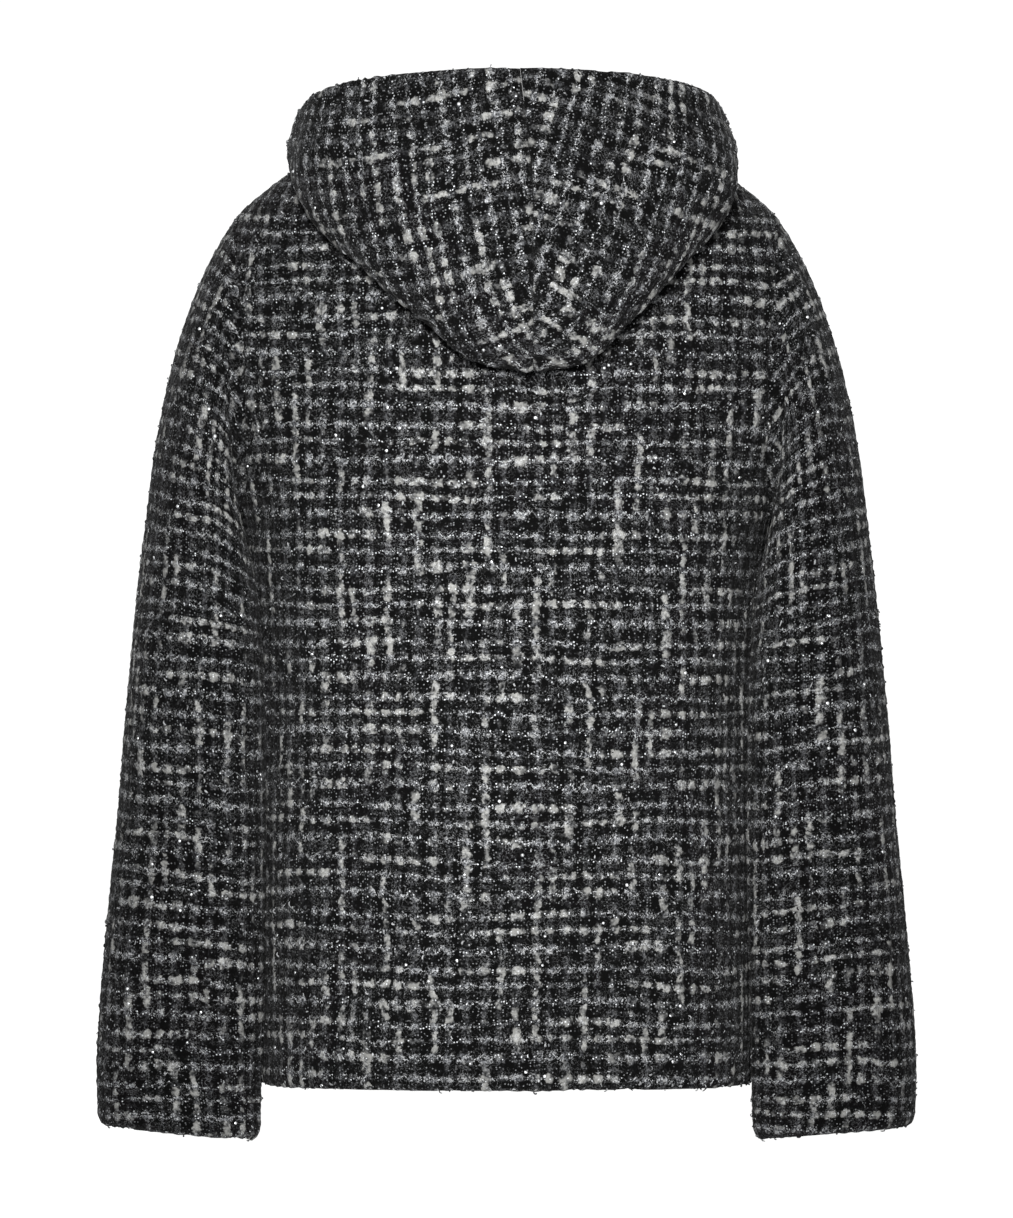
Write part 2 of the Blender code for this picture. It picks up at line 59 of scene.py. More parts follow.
MM = 0.001
TURN = 2.0 * math.pi

# The form of the body, the sleeves and the hood, as the solids have it.
CLOTH = 0.003
# Sewn cloths all but touch at their seams: a hair's breadth keeps them clear.
SEAM_GAP = 0.0001
HEM_HEIGHT = -0.6487
UNDERARM_HEIGHT = -0.2690
SHOULDER_TIP_HEIGHT = -0.0530
ARMHOLE_DEPTH = 0.069
NECK_DROP_BACK = 0.018
NECK_DROP_FRONT = 0.085
NECK_DROP_STARTS = -0.250
FRONT_OPENING_TOP = 0.0012
FRONT_OPENING_HEM = 0.0045
SLEEVE_TO_BODY = 0.0016
HOOD_TO_BODY = 0.0014
CLEARANCE_ROUNDING = 0.002
ARMHOLE_RIM = 0.05
HOOD_REST_STARTS = 0.010
HOOD_LEAN = -0.018
HOOD_FOLD_RADIUS = 0.012
HOOD_COLLAR_RADIUS = 0.0042
HOOD_LEAVES_SEAM = 0.002
HOOD_STANDS = 0.005
SLEEVE_LEAVES_SEAM = 0.0016
SLEEVE_TURNS = 0.42
SLEEVE_SQUARENESS = 2.2
NORMAL_STEP = 1e-4
SHARPEST_CORNER = 0.3
SHOULDER_ROWS_CROWD = 1.1

# How finely each shell is woven: grid steps of about 2 mm, three to a yarn. The
# inside has one step for every STEPS_INSIDE of the outside's.
STEPS_INSIDE = 5
BODY_STEPS = 190
ARMHOLE_STEPS = 140
SHOULDER_STEPS = 40
BACK_STEPS = 220
FRONT_STEPS = 110
SLEEVE_STEPS_ROUND = 190
SLEEVE_STEP = 0.0021
NECK_STEPS_FRONT = 66
NECK_STEPS_BACK = 74
# The hood's path goes from its seam to its rise and its roll, into its fold, over it and
# out of it, and by its bulge to its rim: the share of each leg, and the steps in it.
HOOD_LEGS = (1, 2, 4, 1, 1, 4, 4)
HOOD_STEPS = (3, 12, 80, 7, 8, 45, 50)
HOOD_ROLL_LEG = sum(HOOD_LEGS[:2])
HOOD_FOLD_LEG = sum(HOOD_LEGS[:4])
HOOD_POUCH_ROW = sum(HOOD_STEPS[:5])
# A body panel's length is run along its middle line, over this many points, and a
# sleeve's heading is eased over this many rows on either side.
MIDDLE_LINE_POINTS = 400
SLEEVE_EASE_ROWS = 40

BODY_COLUMNS = ("height", "half_width", "back", "front", "side", "squareness")
BODY_SECTIONS = (
    (-0.6487, 0.1690, 0.122, -0.134, -0.019, 2.4),
    (-0.5600, 0.1695, 0.119, -0.131, -0.019, 2.4),
    (-0.4600, 0.1700, 0.117, -0.130, -0.018, 2.4),
    (-0.3700, 0.1715, 0.118, -0.131, -0.015, 2.4),
    (-0.3200, 0.1740, 0.119, -0.132, -0.012, 2.38),
    (-0.2850, 0.1775, 0.120, -0.132, -0.010, 2.32),
    (-0.2600, 0.1825, 0.120, -0.131, -0.008, 2.25),
    (-0.2300, 0.1920, 0.120, -0.129, -0.007, 2.15),
    (-0.2000, 0.2050, 0.119, -0.125, -0.005, 2.1),
    (-0.1650, 0.2150, 0.117, -0.118, -0.004, 2.05),
    (-0.1300, 0.2180, 0.113, -0.108, -0.002, 2.05),
    (-0.0950, 0.2110, 0.106, -0.096, -0.001, 2.1),
    (-0.0700, 0.1970, 0.098, -0.084, 0.000, 2.15),
    (-0.0530, 0.1820, 0.090, -0.073, 0.000, 2.2),
    (-0.0400, 0.1670, 0.083, -0.064, 0.000, 2.2),
    (-0.0272, 0.1500, 0.075, -0.055, 0.000, 2.2),
    (-0.0130, 0.1250, 0.064, -0.043, 0.000, 2.2),
    (0.0000, 0.0950, 0.046, -0.030, 0.000, 2.2),
)
NECKLINE = ("along", "drop")
NECKLINE_BACK = ((0.0, 0.0), (0.15, 0.02), (0.35, 0.14), (0.6, 0.5), (0.85, 0.92), (1.0, 1.0))
NECKLINE_FRONT = ((0.0, 0.0), (0.2, 0.01), (0.45, 0.09), (0.62, 0.27), (0.79, 0.62), (0.92, 0.92), (1.0, 1.0))
SLEEVE_COLUMNS = ("outer_x", "outer_z", "inner_x", "inner_z", "half_depth", "middle_y")
SLEEVE_SECTIONS = (
    (0.1895, -0.0635, 0.1850, -0.2710, 0.0715, -0.003),
    (0.1980, -0.0775, 0.1815, -0.2800, 0.0730, -0.002),
    (0.2085, -0.0985, 0.1760, -0.2910, 0.0745, -0.001),
    (0.2180, -0.1230, 0.1705, -0.3040, 0.0755, 0.001),
    (0.2262, -0.1490, 0.1665, -0.3190, 0.0755, 0.003),
    (0.2335, -0.1790, 0.1635, -0.3370, 0.0750, 0.005),
    (0.2404, -0.2160, 0.1615, -0.3580, 0.0735, 0.007),
    (0.2460, -0.2600, 0.1605, -0.3820, 0.0715, 0.009),
    (0.2515, -0.3060, 0.1600, -0.4100, 0.0690, 0.011),
    (0.2565, -0.3560, 0.1598, -0.4420, 0.0665, 0.012),
    (0.2612, -0.4080, 0.1595, -0.4770, 0.0635, 0.012),
    (0.2655, -0.4620, 0.1595, -0.5150, 0.0605, 0.011),
    (0.2712, -0.5180, 0.1600, -0.5560, 0.0570, 0.009),
    (0.2766, -0.5770, 0.1605, -0.6010, 0.0535, 0.006),
    (0.2803, -0.6330, 0.1615, -0.6480, 0.0500, 0.003),
    (0.2795, -0.6780, 0.1640, -0.6870, 0.0475, 0.000),
)
HOOD_COLUMNS = (
    "along", "roll_x", "roll_y", "roll_z", "fold_x", "fold_y", "fold_z",
    "bulge_x", "bulge_y", "bulge_z", "rim_x", "rim_y", "rim_z", "fold_share",
)
HOOD_SECTIONS = (
    (0.00, 0.002, -0.095, -0.074, 0.002, -0.101, -0.064, 0.002, -0.105, -0.054, 0.003, -0.108, -0.044, 0.0),
    (0.20, 0.052, -0.087, -0.051, 0.061, -0.095, -0.039, 0.068, -0.100, -0.028, 0.074, -0.102, -0.018, 0.0),
    (0.38, 0.094, -0.050, -0.012, 0.117, -0.054, -0.008, 0.129, -0.056, -0.001, 0.133, -0.055, 0.008, 0.3),
    (0.50, 0.104, 0.002, 0.014, 0.145, 0.008, -0.014, 0.152, 0.014, -0.003, 0.146, 0.024, 0.012, 0.7),
    (0.62, 0.092, 0.044, 0.014, 0.137, 0.072, -0.058, 0.148, 0.088, -0.024, 0.136, 0.088, 0.024, 1.0),
    (0.74, 0.070, 0.066, 0.013, 0.103, 0.108, -0.098, 0.112, 0.132, -0.048, 0.105, 0.117, 0.033, 1.0),
    (0.86, 0.041, 0.079, 0.012, 0.066, 0.126, -0.134, 0.068, 0.152, -0.068, 0.063, 0.134, 0.037, 1.0),
    (0.94, 0.018, 0.084, 0.011, 0.036, 0.131, -0.1590, 0.030, 0.160, -0.078, 0.028, 0.140, 0.0388, 1.0),
    (1.00, 0.000, 0.085, 0.011, 0.000, 0.133, -0.1660, 0.000, 0.162, -0.080, 0.000, 0.142, 0.0390, 1.0),
)
HOOD_LEAN_ALONG = ((0.10, 0.0), (0.40, 0.25), (0.55, 0.25), (1.0, 1.0))
HOOD_LEAN_UP = ((-0.04, 1.0), (0.04, 0.5))
# Columns: turn, height, spread_turn, spread_height, depth.
BODY_FOLDS = (
    (0.60, -0.66, 0.20, 0.22, -0.0035),
    (-0.50, -0.66, 0.22, 0.26, -0.0040),
    (0.10, -0.66, 0.25, 0.20, 0.0020),
    (1.05, -0.36, 0.16, 0.09, -0.0030),
    (-1.08, -0.37, 0.16, 0.08, -0.0030),
    (2.35, -0.66, 0.24, 0.25, -0.0045),
    (-2.45, -0.66, 0.22, 0.23, -0.0040),
    (2.05, -0.30, 0.20, 0.08, -0.0030),
    (-2.00, -0.31, 0.20, 0.08, -0.0030),
)

# Soft creases in the cloth, in metres on the flat piece: where, how long
# and wide, which way (degrees from level) and how deep; a ridge is above nought.
CREASE_COLUMNS = ("across", "up", "half_length", "half_width", "angle", "depth")
BACK_CREASES = (
    (0.130, 0.330, 0.050, 0.013, 62.0, -0.0016),
    (-0.134, 0.318, 0.045, 0.012, 118.0, -0.0018),
    (0.105, 0.120, 0.090, 0.020, 84.0, -0.0013),
    (-0.060, 0.090, 0.080, 0.022, 97.0, -0.0012),
    (0.020, 0.250, 0.060, 0.024, 12.0, 0.0010),
)
FRONT_CREASES = (
    (0.150, 0.340, 0.055, 0.013, 118.0, -0.0020),
    (0.115, 0.300, 0.040, 0.011, 124.0, -0.0014),
    (0.090, 0.110, 0.100, 0.020, 94.0, -0.0016),
    (0.150, 0.080, 0.080, 0.018, 86.0, -0.0013),
)
SLEEVE_CREASES = (
    (0.120, 0.400, 0.040, 0.011, -38.0, -0.0022),
    (0.135, 0.360, 0.032, 0.010, -30.0, -0.0016),
    (-0.118, 0.385, 0.036, 0.011, 34.0, -0.0018),
    (0.075, 0.285, 0.038, 0.012, -14.0, -0.0019),
    (0.100, 0.245, 0.034, 0.010, 10.0, -0.0015),
    (0.060, 0.110, 0.060, 0.016, 74.0, -0.0013),
    (-0.070, 0.150, 0.070, 0.018, 98.0, -0.0012),
)
HOOD_CREASES = (
    (0.070, -0.060, 0.045, 0.014, 66.0, -0.0014),
    (0.110, -0.110, 0.040, 0.012, 48.0, -0.0016),
    (0.035, -0.150, 0.035, 0.012, 28.0, -0.0012),
)

# The edges of a panel: how far in they shape the cloth, how deep they sink it there,
# and how much of the yarns' relief they press flat. A tube's own seam has neither.
EDGES = {
    "seam": (0.0042, 0.0015, 0.75),
    "hem": (0.0060, 0.0021, 0.50),
    "cuff": (0.0105, 0.0055, 0.45),
    "none": (1e-6, 0.0, 0.0),
}
EDGE_SIDES = ("bottom", "top", "left", "right")
FREE_EDGES = ("hem", "cuff")
THINNEST_EDGE = 0.0008
# A piece's edges as grids have them: the edge's own line, the next one in, and the axis.
EDGE_LINES = ((0, 1, 0), (-1, -2, 0), (0, 1, 1), (-1, -2, 1))
# The inside is held back from a seam, so that sewn cloths meet at their outsides only.
SEAM_SETBACK = 0.5 * MM
SETBACK_REACH = 1.0 * MM
# How far the yarns' ends make a free edge uneven, and over what width.
NUB_SIZE = 1.1 * MM
NUB_REACH = 5.0 * MM
# How many more curls grow on a free edge than on the cloth, and over what width.
EDGE_CURLS = 9.0
EDGE_CURLS_REACH = 3.5 * MM

# The weave: thick yarns in plain weave, a black one and a fancy one by turns, both ways.
END_PITCH = 5.7 * MM
PICK_PITCH = 6.1 * MM
FANCY_SHARE = 0.20
# The yarns repeat by sixes, and crowd and spread by about a fifth within a repeat.
REPEAT = 6.0
REPEAT_SHIFT = 0.22
# Half widths are shares of the pitch, and heights are shares of half the relief. A yarn
# loses the pinch's share of its width halfway down, and twice that where it goes under.
END_HALF_WIDTH = 0.31
PICK_HALF_WIDTH = 0.39
FANCY_WIDER = 0.08
SLUB_WIDER = 0.03
YARN_PINCH = 0.07
YARN_ROUND = 0.85
FANCY_HIGHER = 0.25
SLUB_HIGHER = 0.42
CRIMP = 0.32
WEFT_OVER = 0.14
# Fancy ends are nearly black between their pale runs; fancy picks stay woolly grey.
END_WOOLLY = 0.25
# A yarn's tone runs in waves along it: how long a wave is, how far apart in it the yarns
# start, and its weight. The yarns' repeat has a weight too.
TONE_WAVES = ((0.230, 97.0, 0.45), (0.091, 61.0, 0.34), (0.041, 37.0, 0.24))
REPEAT_TONE = 0.20
# The sums of those waves at which a yarn begins to be pale, and at which it is palest.
END_TONE = (0.08, 0.66)
PICK_TONE = (-0.25, 0.75)
# A yarn's chance is the fraction of a steep sine, which starts elsewhere in each set.
CHANCE_STEP = 1.7
CHANCE_STEEPNESS = 437.58
END_SEED = 0.3
PICK_SEED = 2.1
# A thin pale thread winds along every fancy pick: how far a turn takes it, how far it
# swings and how thick it is, as shares of the pick's width.
THREAD_TURN = 9.3 * MM
THREAD_SWING = 0.17
THREAD_EDGE = (0.11, 0.05)
# How far a yarn's edges wander across and up the cloth, and over what length.
YARN_WANDERS = (5.5 * MM, 5.0 * MM, 0.0)
YARN_WANDER_SIZE = 4.2 * MM
# Hand-laid thick yarns waver slowly: how far and over what length, in how many waves of
# each kind, and how often they waver up the cloth for each time across it.
WAVERS = ((1.1 * MM, 0.16), (0.8 * MM, 0.06), (0.45 * MM, 0.025))
WAVES_OF_A_KIND = 3
WAVERS_UP = 0.83

# Loose curls of yarn: rings of points in each, how long they are, how far they bend,
# how high they lie or stand, and how deep their roots go into the cloth.
CURL_RINGS = 6
CURL_LENGTH = (1.6 * MM, 4.0 * MM)
CURL_BEND = (0.6, 2.6)
CURL_LIES = (0.6 * MM, 1.1 * MM)
CURL_STANDS = (1.1 * MM, 1.9 * MM)
CURLS_STANDING = 0.22
CURLS_FREE = 0.25
CURL_ROOT = 0.4 * MM
# How thick curls are against the size that is set, how much thinner they end, and how
# long the flecks of tone on them are.
CURL_THICKNESSES = (0.6, 1.25)
CURL_TAPER = 0.45
CURL_FLECK = 1.6 * MM
# Sequins: their widths against the size that is set, their thickness as a share of their
# width, how dull a rubbed one is, and how they lie.
SEQUIN_WIDTHS = (0.7, 1.1)
SEQUIN_THICKNESS = 0.08
SEQUIN_DULLED = 0.35
SEQUIN_TILT = 0.22
SEQUIN_LIFT = 0.35 * MM


def yarn_cells(yarn, across, pitch):
    """Steps that say which yarn of a set lies at a point, and where across it."""
    return (
        (yarn + "_even", "MULTIPLY", across, 1.0 / pitch),
        (yarn + "_repeat_a", "MULTIPLY", yarn + "_even", TURN / REPEAT),
        (yarn + "_repeat", "SINE", yarn + "_repeat_a"),
        (yarn + "_at", "MULTIPLY_ADD", yarn + "_repeat", REPEAT_SHIFT, yarn + "_even"),
        (yarn + "_turn", "MULTIPLY", yarn + "_at", math.pi),
        (yarn + "_shift", "COSINE", yarn + "_turn"),
        (yarn + "_cell", "MULTIPLY_ADD", yarn + "_shift", -FANCY_SHARE / math.pi, yarn + "_at"),
        (yarn, "FLOOR", yarn + "_cell"),
        (yarn + "_in", "SUBTRACT", yarn + "_cell", yarn),
        (yarn + "_off", "SUBTRACT", yarn + "_in", 0.5),
        (yarn + "_fancy", "FLOORED_MODULO", yarn, 2.0),
    )


def yarn_tone(yarn, along, seed, dark, light):
    """Steps that say how light a yarn is there: its own shade, in slow runs along it."""
    chance = yarn + "_chance"
    steps = [
        (chance + "_a", "MULTIPLY_ADD", yarn, CHANCE_STEP, seed),
        (chance + "_b", "SINE", chance + "_a"),
        (chance + "_c", "MULTIPLY", chance + "_b", CHANCE_STEEPNESS),
        (chance, "FRACT", chance + "_c"),
        (yarn + "_order_a", "MULTIPLY_ADD", yarn, TURN / REPEAT, seed),
        (yarn + "_order", "SINE", yarn + "_order_a"),
        (yarn + "_sum0", "MULTIPLY", yarn + "_order", REPEAT_TONE),
    ]
    for number, (length, spread, weight) in enumerate(TONE_WAVES):
        wave = f"{yarn}_wave{number}"
        steps += [
            (wave + "_a", "MULTIPLY", chance, spread),
            (wave + "_b", "MULTIPLY_ADD", along, TURN / length, wave + "_a"),
            (wave, "SINE", wave + "_b"),
            (f"{yarn}_sum{number + 1}", "MULTIPLY_ADD", wave, weight, f"{yarn}_sum{number}"),
        ]
    steps += [
        (yarn + "_lit", "RAMP", f"{yarn}_sum{len(TONE_WAVES)}", dark, light),
        (yarn + "_light", "MULTIPLY", yarn + "_lit", yarn + "_fancy"),
    ]
    return tuple(steps)


def yarn_height(yarn, other, phase, half_width):
    """Steps that say how high a yarn stands: round across, over and under along."""
    return (
        (yarn + "_over_a", "MULTIPLY_ADD", yarn, math.pi, phase),
        (yarn + "_over_b", "MULTIPLY_ADD", other + "_cell", math.pi, yarn + "_over_a"),
        (yarn + "_over", "COSINE", yarn + "_over_b"),
        (yarn + "_wide_a", "MULTIPLY_ADD", yarn + "_fancy", FANCY_WIDER, half_width),
        (yarn + "_wide_b", "MULTIPLY_ADD", yarn + "_light", SLUB_WIDER, yarn + "_wide_a"),
        (yarn + "_pinch", "MULTIPLY_ADD", yarn + "_over", YARN_PINCH, 1.0 - YARN_PINCH),
        (yarn + "_wide", "MULTIPLY", yarn + "_wide_b", yarn + "_pinch"),
        (yarn + "_part", "DIVIDE", yarn + "_off", yarn + "_wide"),
        (yarn + "_part2", "MULTIPLY", yarn + "_part", yarn + "_part"),
        (yarn + "_round_a", "SUBTRACT", 1.0, yarn + "_part2"),
        (yarn + "_round_b", "MAXIMUM", yarn + "_round_a", 0.0),
        (yarn + "_round", "SQRT", yarn + "_round_b"),
        (yarn + "_body_a", "MULTIPLY_ADD", yarn + "_fancy", FANCY_HIGHER, YARN_ROUND),
        (yarn + "_body_b", "MULTIPLY_ADD", yarn + "_light", SLUB_HIGHER, yarn + "_body_a"),
        (yarn + "_body", "MULTIPLY", yarn + "_round", yarn + "_body_b"),
        (yarn + "_high", "MULTIPLY_ADD", yarn + "_over", CRIMP, yarn + "_body"),
    )


# Every step is (name, operation, operands), on the cloth's own u and v in metres. Fancy
# picks lie over the fancy ends and under the black ones, which part them into beads.
# Fancy ends lie over the black picks.
WEAVE = (
    *yarn_cells("end", "u", END_PITCH),
    *yarn_cells("pick", "v", PICK_PITCH),
    *yarn_tone("end", "v", END_SEED, *END_TONE),
    *yarn_tone("pick", "u", PICK_SEED, *PICK_TONE),
    *yarn_height("end", "pick", 0.5 * math.pi, END_HALF_WIDTH),
    *yarn_height("pick", "end", -0.5 * math.pi, PICK_HALF_WIDTH),
    ("pick_top", "ADD", "pick_high", WEFT_OVER),
    ("pick_shows", "GREATER_THAN", "pick_top", "end_high"),
    ("high", "MAXIMUM", "pick_top", "end_high"),
    ("light_more", "SUBTRACT", "pick_light", "end_light"),
    ("light", "MULTIPLY_ADD", "light_more", "pick_shows", "end_light"),
    ("end_wool_a", "MULTIPLY_ADD", "end_light", 1.0 - END_WOOLLY, END_WOOLLY),
    ("end_wool", "MULTIPLY", "end_wool_a", "end_fancy"),
    ("wool_more", "SUBTRACT", "pick_fancy", "end_wool"),
    ("wool", "MULTIPLY_ADD", "wool_more", "pick_shows", "end_wool"),
)

# Fibres, tufts and grit: noise on the cut cloth, with its size, detail and roughness.
# Real fibres are finer than a picture shows, so they are drawn about 1 mm thick.
TEXTURES = (
    ("fuzz", 1.7 * MM, 1.0, 0.50),
    ("tufts", 5.5 * MM, 2.0, 0.50),
    ("grit", 1.1 * MM, 1.0, 0.50),
    ("patch", 13.0 * MM, 1.0, 0.50),
    ("loops", 2.9 * MM, 1.0, 0.50),
)
# Beads of silver filament lie about as far apart as this.
BEAD_SPACING = 2.1 * MM
# What the material adds to the weave: steps on the same values and on the textures.
SURFACE = (
    # The yarns' furry height sets a painted shade: the colour grows darker down into the hollows between the
    # yarns.
    ("furry_a", "MULTIPLY_ADD", "tufts", 1.5, "high"),
    ("furry", "MULTIPLY_ADD", "fuzz", 0.9, "furry_a"),
    ("hollow_shade_a", "RAMP", "furry", 1.80, 2.95),
    # A black end parts a fancy pick into beads, except where tufts bridge it.
    ("end_far", "ABSOLUTE", "end_off"),
    ("end_black", "SUBTRACT", 1.0, "end_fancy"),
    ("gap_a", "RAMP", "end_far", 0.54, 0.30),
    ("gap_b", "MULTIPLY", "gap_a", "end_black"),
    ("gap_c", "RAMP", "tufts", 0.86, 0.68),
    ("gap", "MULTIPLY", "gap_b", "gap_c"),
    ("ungapped", "MULTIPLY_ADD", "gap", -0.93, 1.0),
    # Painted shade in the hollows, and the black ends' own black where they part a pick.
    ("hollow_shade_and_black_ends", "MULTIPLY", "hollow_shade_a", "ungapped"),
    # Some stretches are plain grey wool, others nearly black and beaded with silver.
    ("woolly_there", "RAMP", "patch", 0.42, 0.60),
    ("mottle_a", "RAMP", "fuzz", 0.34, 0.70),
    ("mottle_b", "MULTIPLY_ADD", "mottle_a", 1.55, 0.20),
    ("mottle_c", "MULTIPLY_ADD", "woolly_there", 0.75, 0.35),
    ("mottle", "MULTIPLY", "mottle_b", "mottle_c"),
    ("bunch_a", "RAMP", "tufts", 0.34, 0.62),
    ("bunch", "MULTIPLY_ADD", "bunch_a", 0.95, 0.15),
    ("mottled", "MULTIPLY", "mottle", "bunch"),
    ("swell", "MULTIPLY_ADD", "light", 0.40, "tufts"),
    ("slub", "RAMP", "swell", 0.54, 1.05),
    # A pale slub is smooth and soft; only the grey wool between slubs is mottled.
    ("even_a", "SUBTRACT", 0.95, "mottled"),
    ("even", "MULTIPLY", "even_a", "slub"),
    ("fibred", "MULTIPLY_ADD", "even", 0.75, "mottled"),
    # The painted hollow shade, times the fibres' own mottle, scales the yarns' colour.
    ("lit", "MULTIPLY", "hollow_shade_and_black_ends", "fibred"),
    ("stray", "MULTIPLY", "bunch_a", 0.13),
    ("woolly", "MAXIMUM", "wool", "stray"),
    ("wind_a", "MULTIPLY_ADD", "u", TURN / THREAD_TURN, "pick_chance_a"),
    ("wind", "SINE", "wind_a"),
    ("thread_at", "MULTIPLY_ADD", "wind", -THREAD_SWING, "pick_off"),
    ("thread_far", "ABSOLUTE", "thread_at"),
    ("thread_line", "RAMP", "thread_far", *THREAD_EDGE),
    ("beads", "RAMP", "grit", 0.50, 0.64),
    ("beaded", "MULTIPLY", "thread_line", "beads"),
    ("thread_a", "MULTIPLY", "beaded", "pick_fancy"),
    ("thread_b", "RAMP", "patch", 0.36, 0.60),
    ("thread_c", "MULTIPLY_ADD", "thread_b", 0.80, 0.20),
    ("thread", "MULTIPLY", "thread_a", "thread_c"),
    ("loop_off", "SUBTRACT", "loops", 0.5),
    ("loop_far", "ABSOLUTE", "loop_off"),
    ("loop_line", "RAMP", "loop_far", 0.045, 0.0),
    ("loop_there", "RAMP", "patch", 0.40, 0.62),
    ("loop_a", "MULTIPLY", "loop_line", "loop_there"),
    ("loop_b", "MULTIPLY_ADD", "wool", 0.40, 0.14),
    ("loop", "MULTIPLY", "loop_a", "loop_b"),
    # Silver beads sit mostly along the fancy picks, where there is little wool.
    ("bead_a", "RAMP", "bead_far", 0.30, 0.14),
    ("bead_b", "RAMP", "bead_chance", 0.52, 1.05),
    ("bead", "MULTIPLY", "bead_a", "bead_b"),
    ("near_a", "RAMP", "thread_far", 0.34, 0.10),
    ("near_b", "MULTIPLY", "near_a", "pick_fancy"),
    ("near", "MULTIPLY_ADD", "near_b", 0.80, 0.28),
    ("speck_a", "MULTIPLY_ADD", "woolly_there", -0.50, 0.90),
    ("speck_b", "MULTIPLY", "near", "speck_a"),
    ("speck", "MULTIPLY", "bead", "speck_b"),
    ("relief_a", "MULTIPLY_ADD", "loop", 0.6, "high"),
    ("relief", "MULTIPLY_ADD", "fuzz", 0.9, "relief_a"),
)


def ramp(values, low, high):
    """A smooth rise from nought at the low value to one at the high one."""
    share = np.clip((values - low) / (high - low), 0.0, 1.0)
    return share * share * (3.0 - 2.0 * share)


# The steps' operations on arrays; in a material, Math and Map Range nodes do them.
ARRAY_OPERATIONS = {
    "ADD": np.add,
    "RAMP": ramp,
    "MULTIPLY": np.multiply,
    "DIVIDE": np.divide,
    "SUBTRACT": np.subtract,
    "MULTIPLY_ADD": lambda a, b, c: a * b + c,
    "FLOOR": np.floor,
    "FRACT": lambda a: a - np.floor(a),
    "FLOORED_MODULO": np.mod,
    "SINE": np.sin,
    "COSINE": np.cos,
    "SQRT": np.sqrt,
    "MAXIMUM": np.maximum,
    "GREATER_THAN": lambda a, b: (a > b).astype(np.float32),
}


def weave_arrays(u, v):
    """The weave's values at many points at once, to raise the yarns in a mesh."""
    values = {"u": u.astype(np.float32), "v": v.astype(np.float32)}
    for name, operation, *operands in WEAVE:
        known = [values[x] if isinstance(x, str) else np.float32(x) for x in operands]
        values[name] = ARRAY_OPERATIONS[operation](*known)
    return values


def linear(colour):
    """An sRGB hex colour as linear red, green, blue and alpha."""
    parts = [int(colour[place:place + 2], 16) / 255.0 for place in (1, 3, 5)]
    return (*[p / 12.92 if p <= 0.04045 else ((p + 0.055) / 1.055) ** 2.4 for p in parts], 1.0)


class TweedSizes(bpy.types.PropertyGroup):
    """Sizes of the cloth and its trimmings."""

    relief: bpy.props.FloatProperty(
        name="Yarn relief", description="How far the thickest yarns stand above the hollows between them",
        default=1.8 * MM, min=0.0, max=3 * MM, unit="LENGTH", precision=4)
    curl_thickness: bpy.props.FloatProperty(
        name="Curl thickness", description="Thickness of the loose curls of yarn",
        default=1.15 * MM, min=0.2 * MM, max=2 * MM, unit="LENGTH", precision=4)
    curls_per_area: bpy.props.FloatProperty(
        name="Curls per square metre", description="How many loose curls stand on the cloth",
        default=6200.0, min=0.0, max=9000.0)
    sequin_diameter: bpy.props.FloatProperty(
        name="Sequin diameter", description="Diameter of the small flat sequins",
        default=2.3 * MM, min=1 * MM, max=6 * MM, unit="LENGTH", precision=4)
    sequins_per_area: bpy.props.FloatProperty(
        name="Sequins per square metre", description="How many sequins are spun into the yarns",
        default=300.0, min=0.0, max=3000.0)


class TweedColours(bpy.types.PropertyGroup):
    """Colours of the yarns and the set."""

    black: bpy.props.FloatVectorProperty(
        name="Black yarn", description="Wool of the plain black yarns",
        subtype="COLOR", size=4, default=linear("#0d0d0e"))
    dark: bpy.props.FloatVectorProperty(
        name="Dark fancy yarn", description="Fancy yarns where they are darkest",
        subtype="COLOR", size=4, default=linear("#323335"))
    pale: bpy.props.FloatVectorProperty(
        name="Pale slub", description="Thick pale runs of the fancy yarns",
        subtype="COLOR", size=4, default=linear("#5e5e5c"))
    curl: bpy.props.FloatVectorProperty(
        name="Curls", description="Fine pale fibres curling over the yarns",
        subtype="COLOR", size=4, default=linear("#727374"))
    fleck: bpy.props.FloatVectorProperty(
        name="Flecks", description="Specks of silver filament between the fibres",
        subtype="COLOR", size=4, default=linear("#9c9ea0"))
    sequin: bpy.props.FloatVectorProperty(
        name="Sequins", description="Silvered film of the sequins",
        subtype="COLOR", size=4, default=linear("#e8eaec"))
    floor: bpy.props.FloatVectorProperty(
        name="Floor", description="Pale seamless floor",
        subtype="COLOR", size=4, default=linear("#fafafa"))


def column(sections, names, name):
    """One named column of a table."""
    return np.array([row[names.index(name)] for row in sections], dtype=float)


def path_weights(t):
    """How much a smooth path's start, its leaving, its stop and its arriving count at t."""
    return (
        (1.0 + 2.0 * t) * (1.0 - t) ** 2,
        t * (1.0 - t) ** 2,
        t * t * (3.0 - 2.0 * t),
        t * t * (t - 1.0),
    )


def smooth_curve(knots, values, at):
    """A smooth curve through the values, with no overshoot between them."""
    steps = np.diff(knots)
    slopes = np.diff(values) / steps
    tangents = np.empty(len(knots))
    tangents[0], tangents[-1] = slopes[0], slopes[-1]
    flat = slopes[:-1] * slopes[1:] <= 0.0
    weight_a = 2.0 * steps[1:] + steps[:-1]
    weight_b = steps[1:] + 2.0 * steps[:-1]
    safe_a = np.where(flat, 1.0, slopes[:-1])
    safe_b = np.where(flat, 1.0, slopes[1:])
    inner = (weight_a + weight_b) / (weight_a / safe_a + weight_b / safe_b)
    tangents[1:-1] = np.where(flat, 0.0, inner)
    at = np.clip(np.asarray(at, dtype=float), knots[0], knots[-1])
    cell = np.clip(np.searchsorted(knots, at, side="right") - 1, 0, len(steps) - 1)
    t = (at - knots[cell]) / steps[cell]
    start, leave, stop, arrive = path_weights(t)
    return (
        start * values[cell] + leave * steps[cell] * tangents[cell]
        + stop * values[cell + 1] + arrive * steps[cell] * tangents[cell + 1])


def body_size(name, height):
    """A size of the body's section at a height."""
    knots = column(BODY_SECTIONS, BODY_COLUMNS, "height")
    return smooth_curve(knots, column(BODY_SECTIONS, BODY_COLUMNS, name), height)


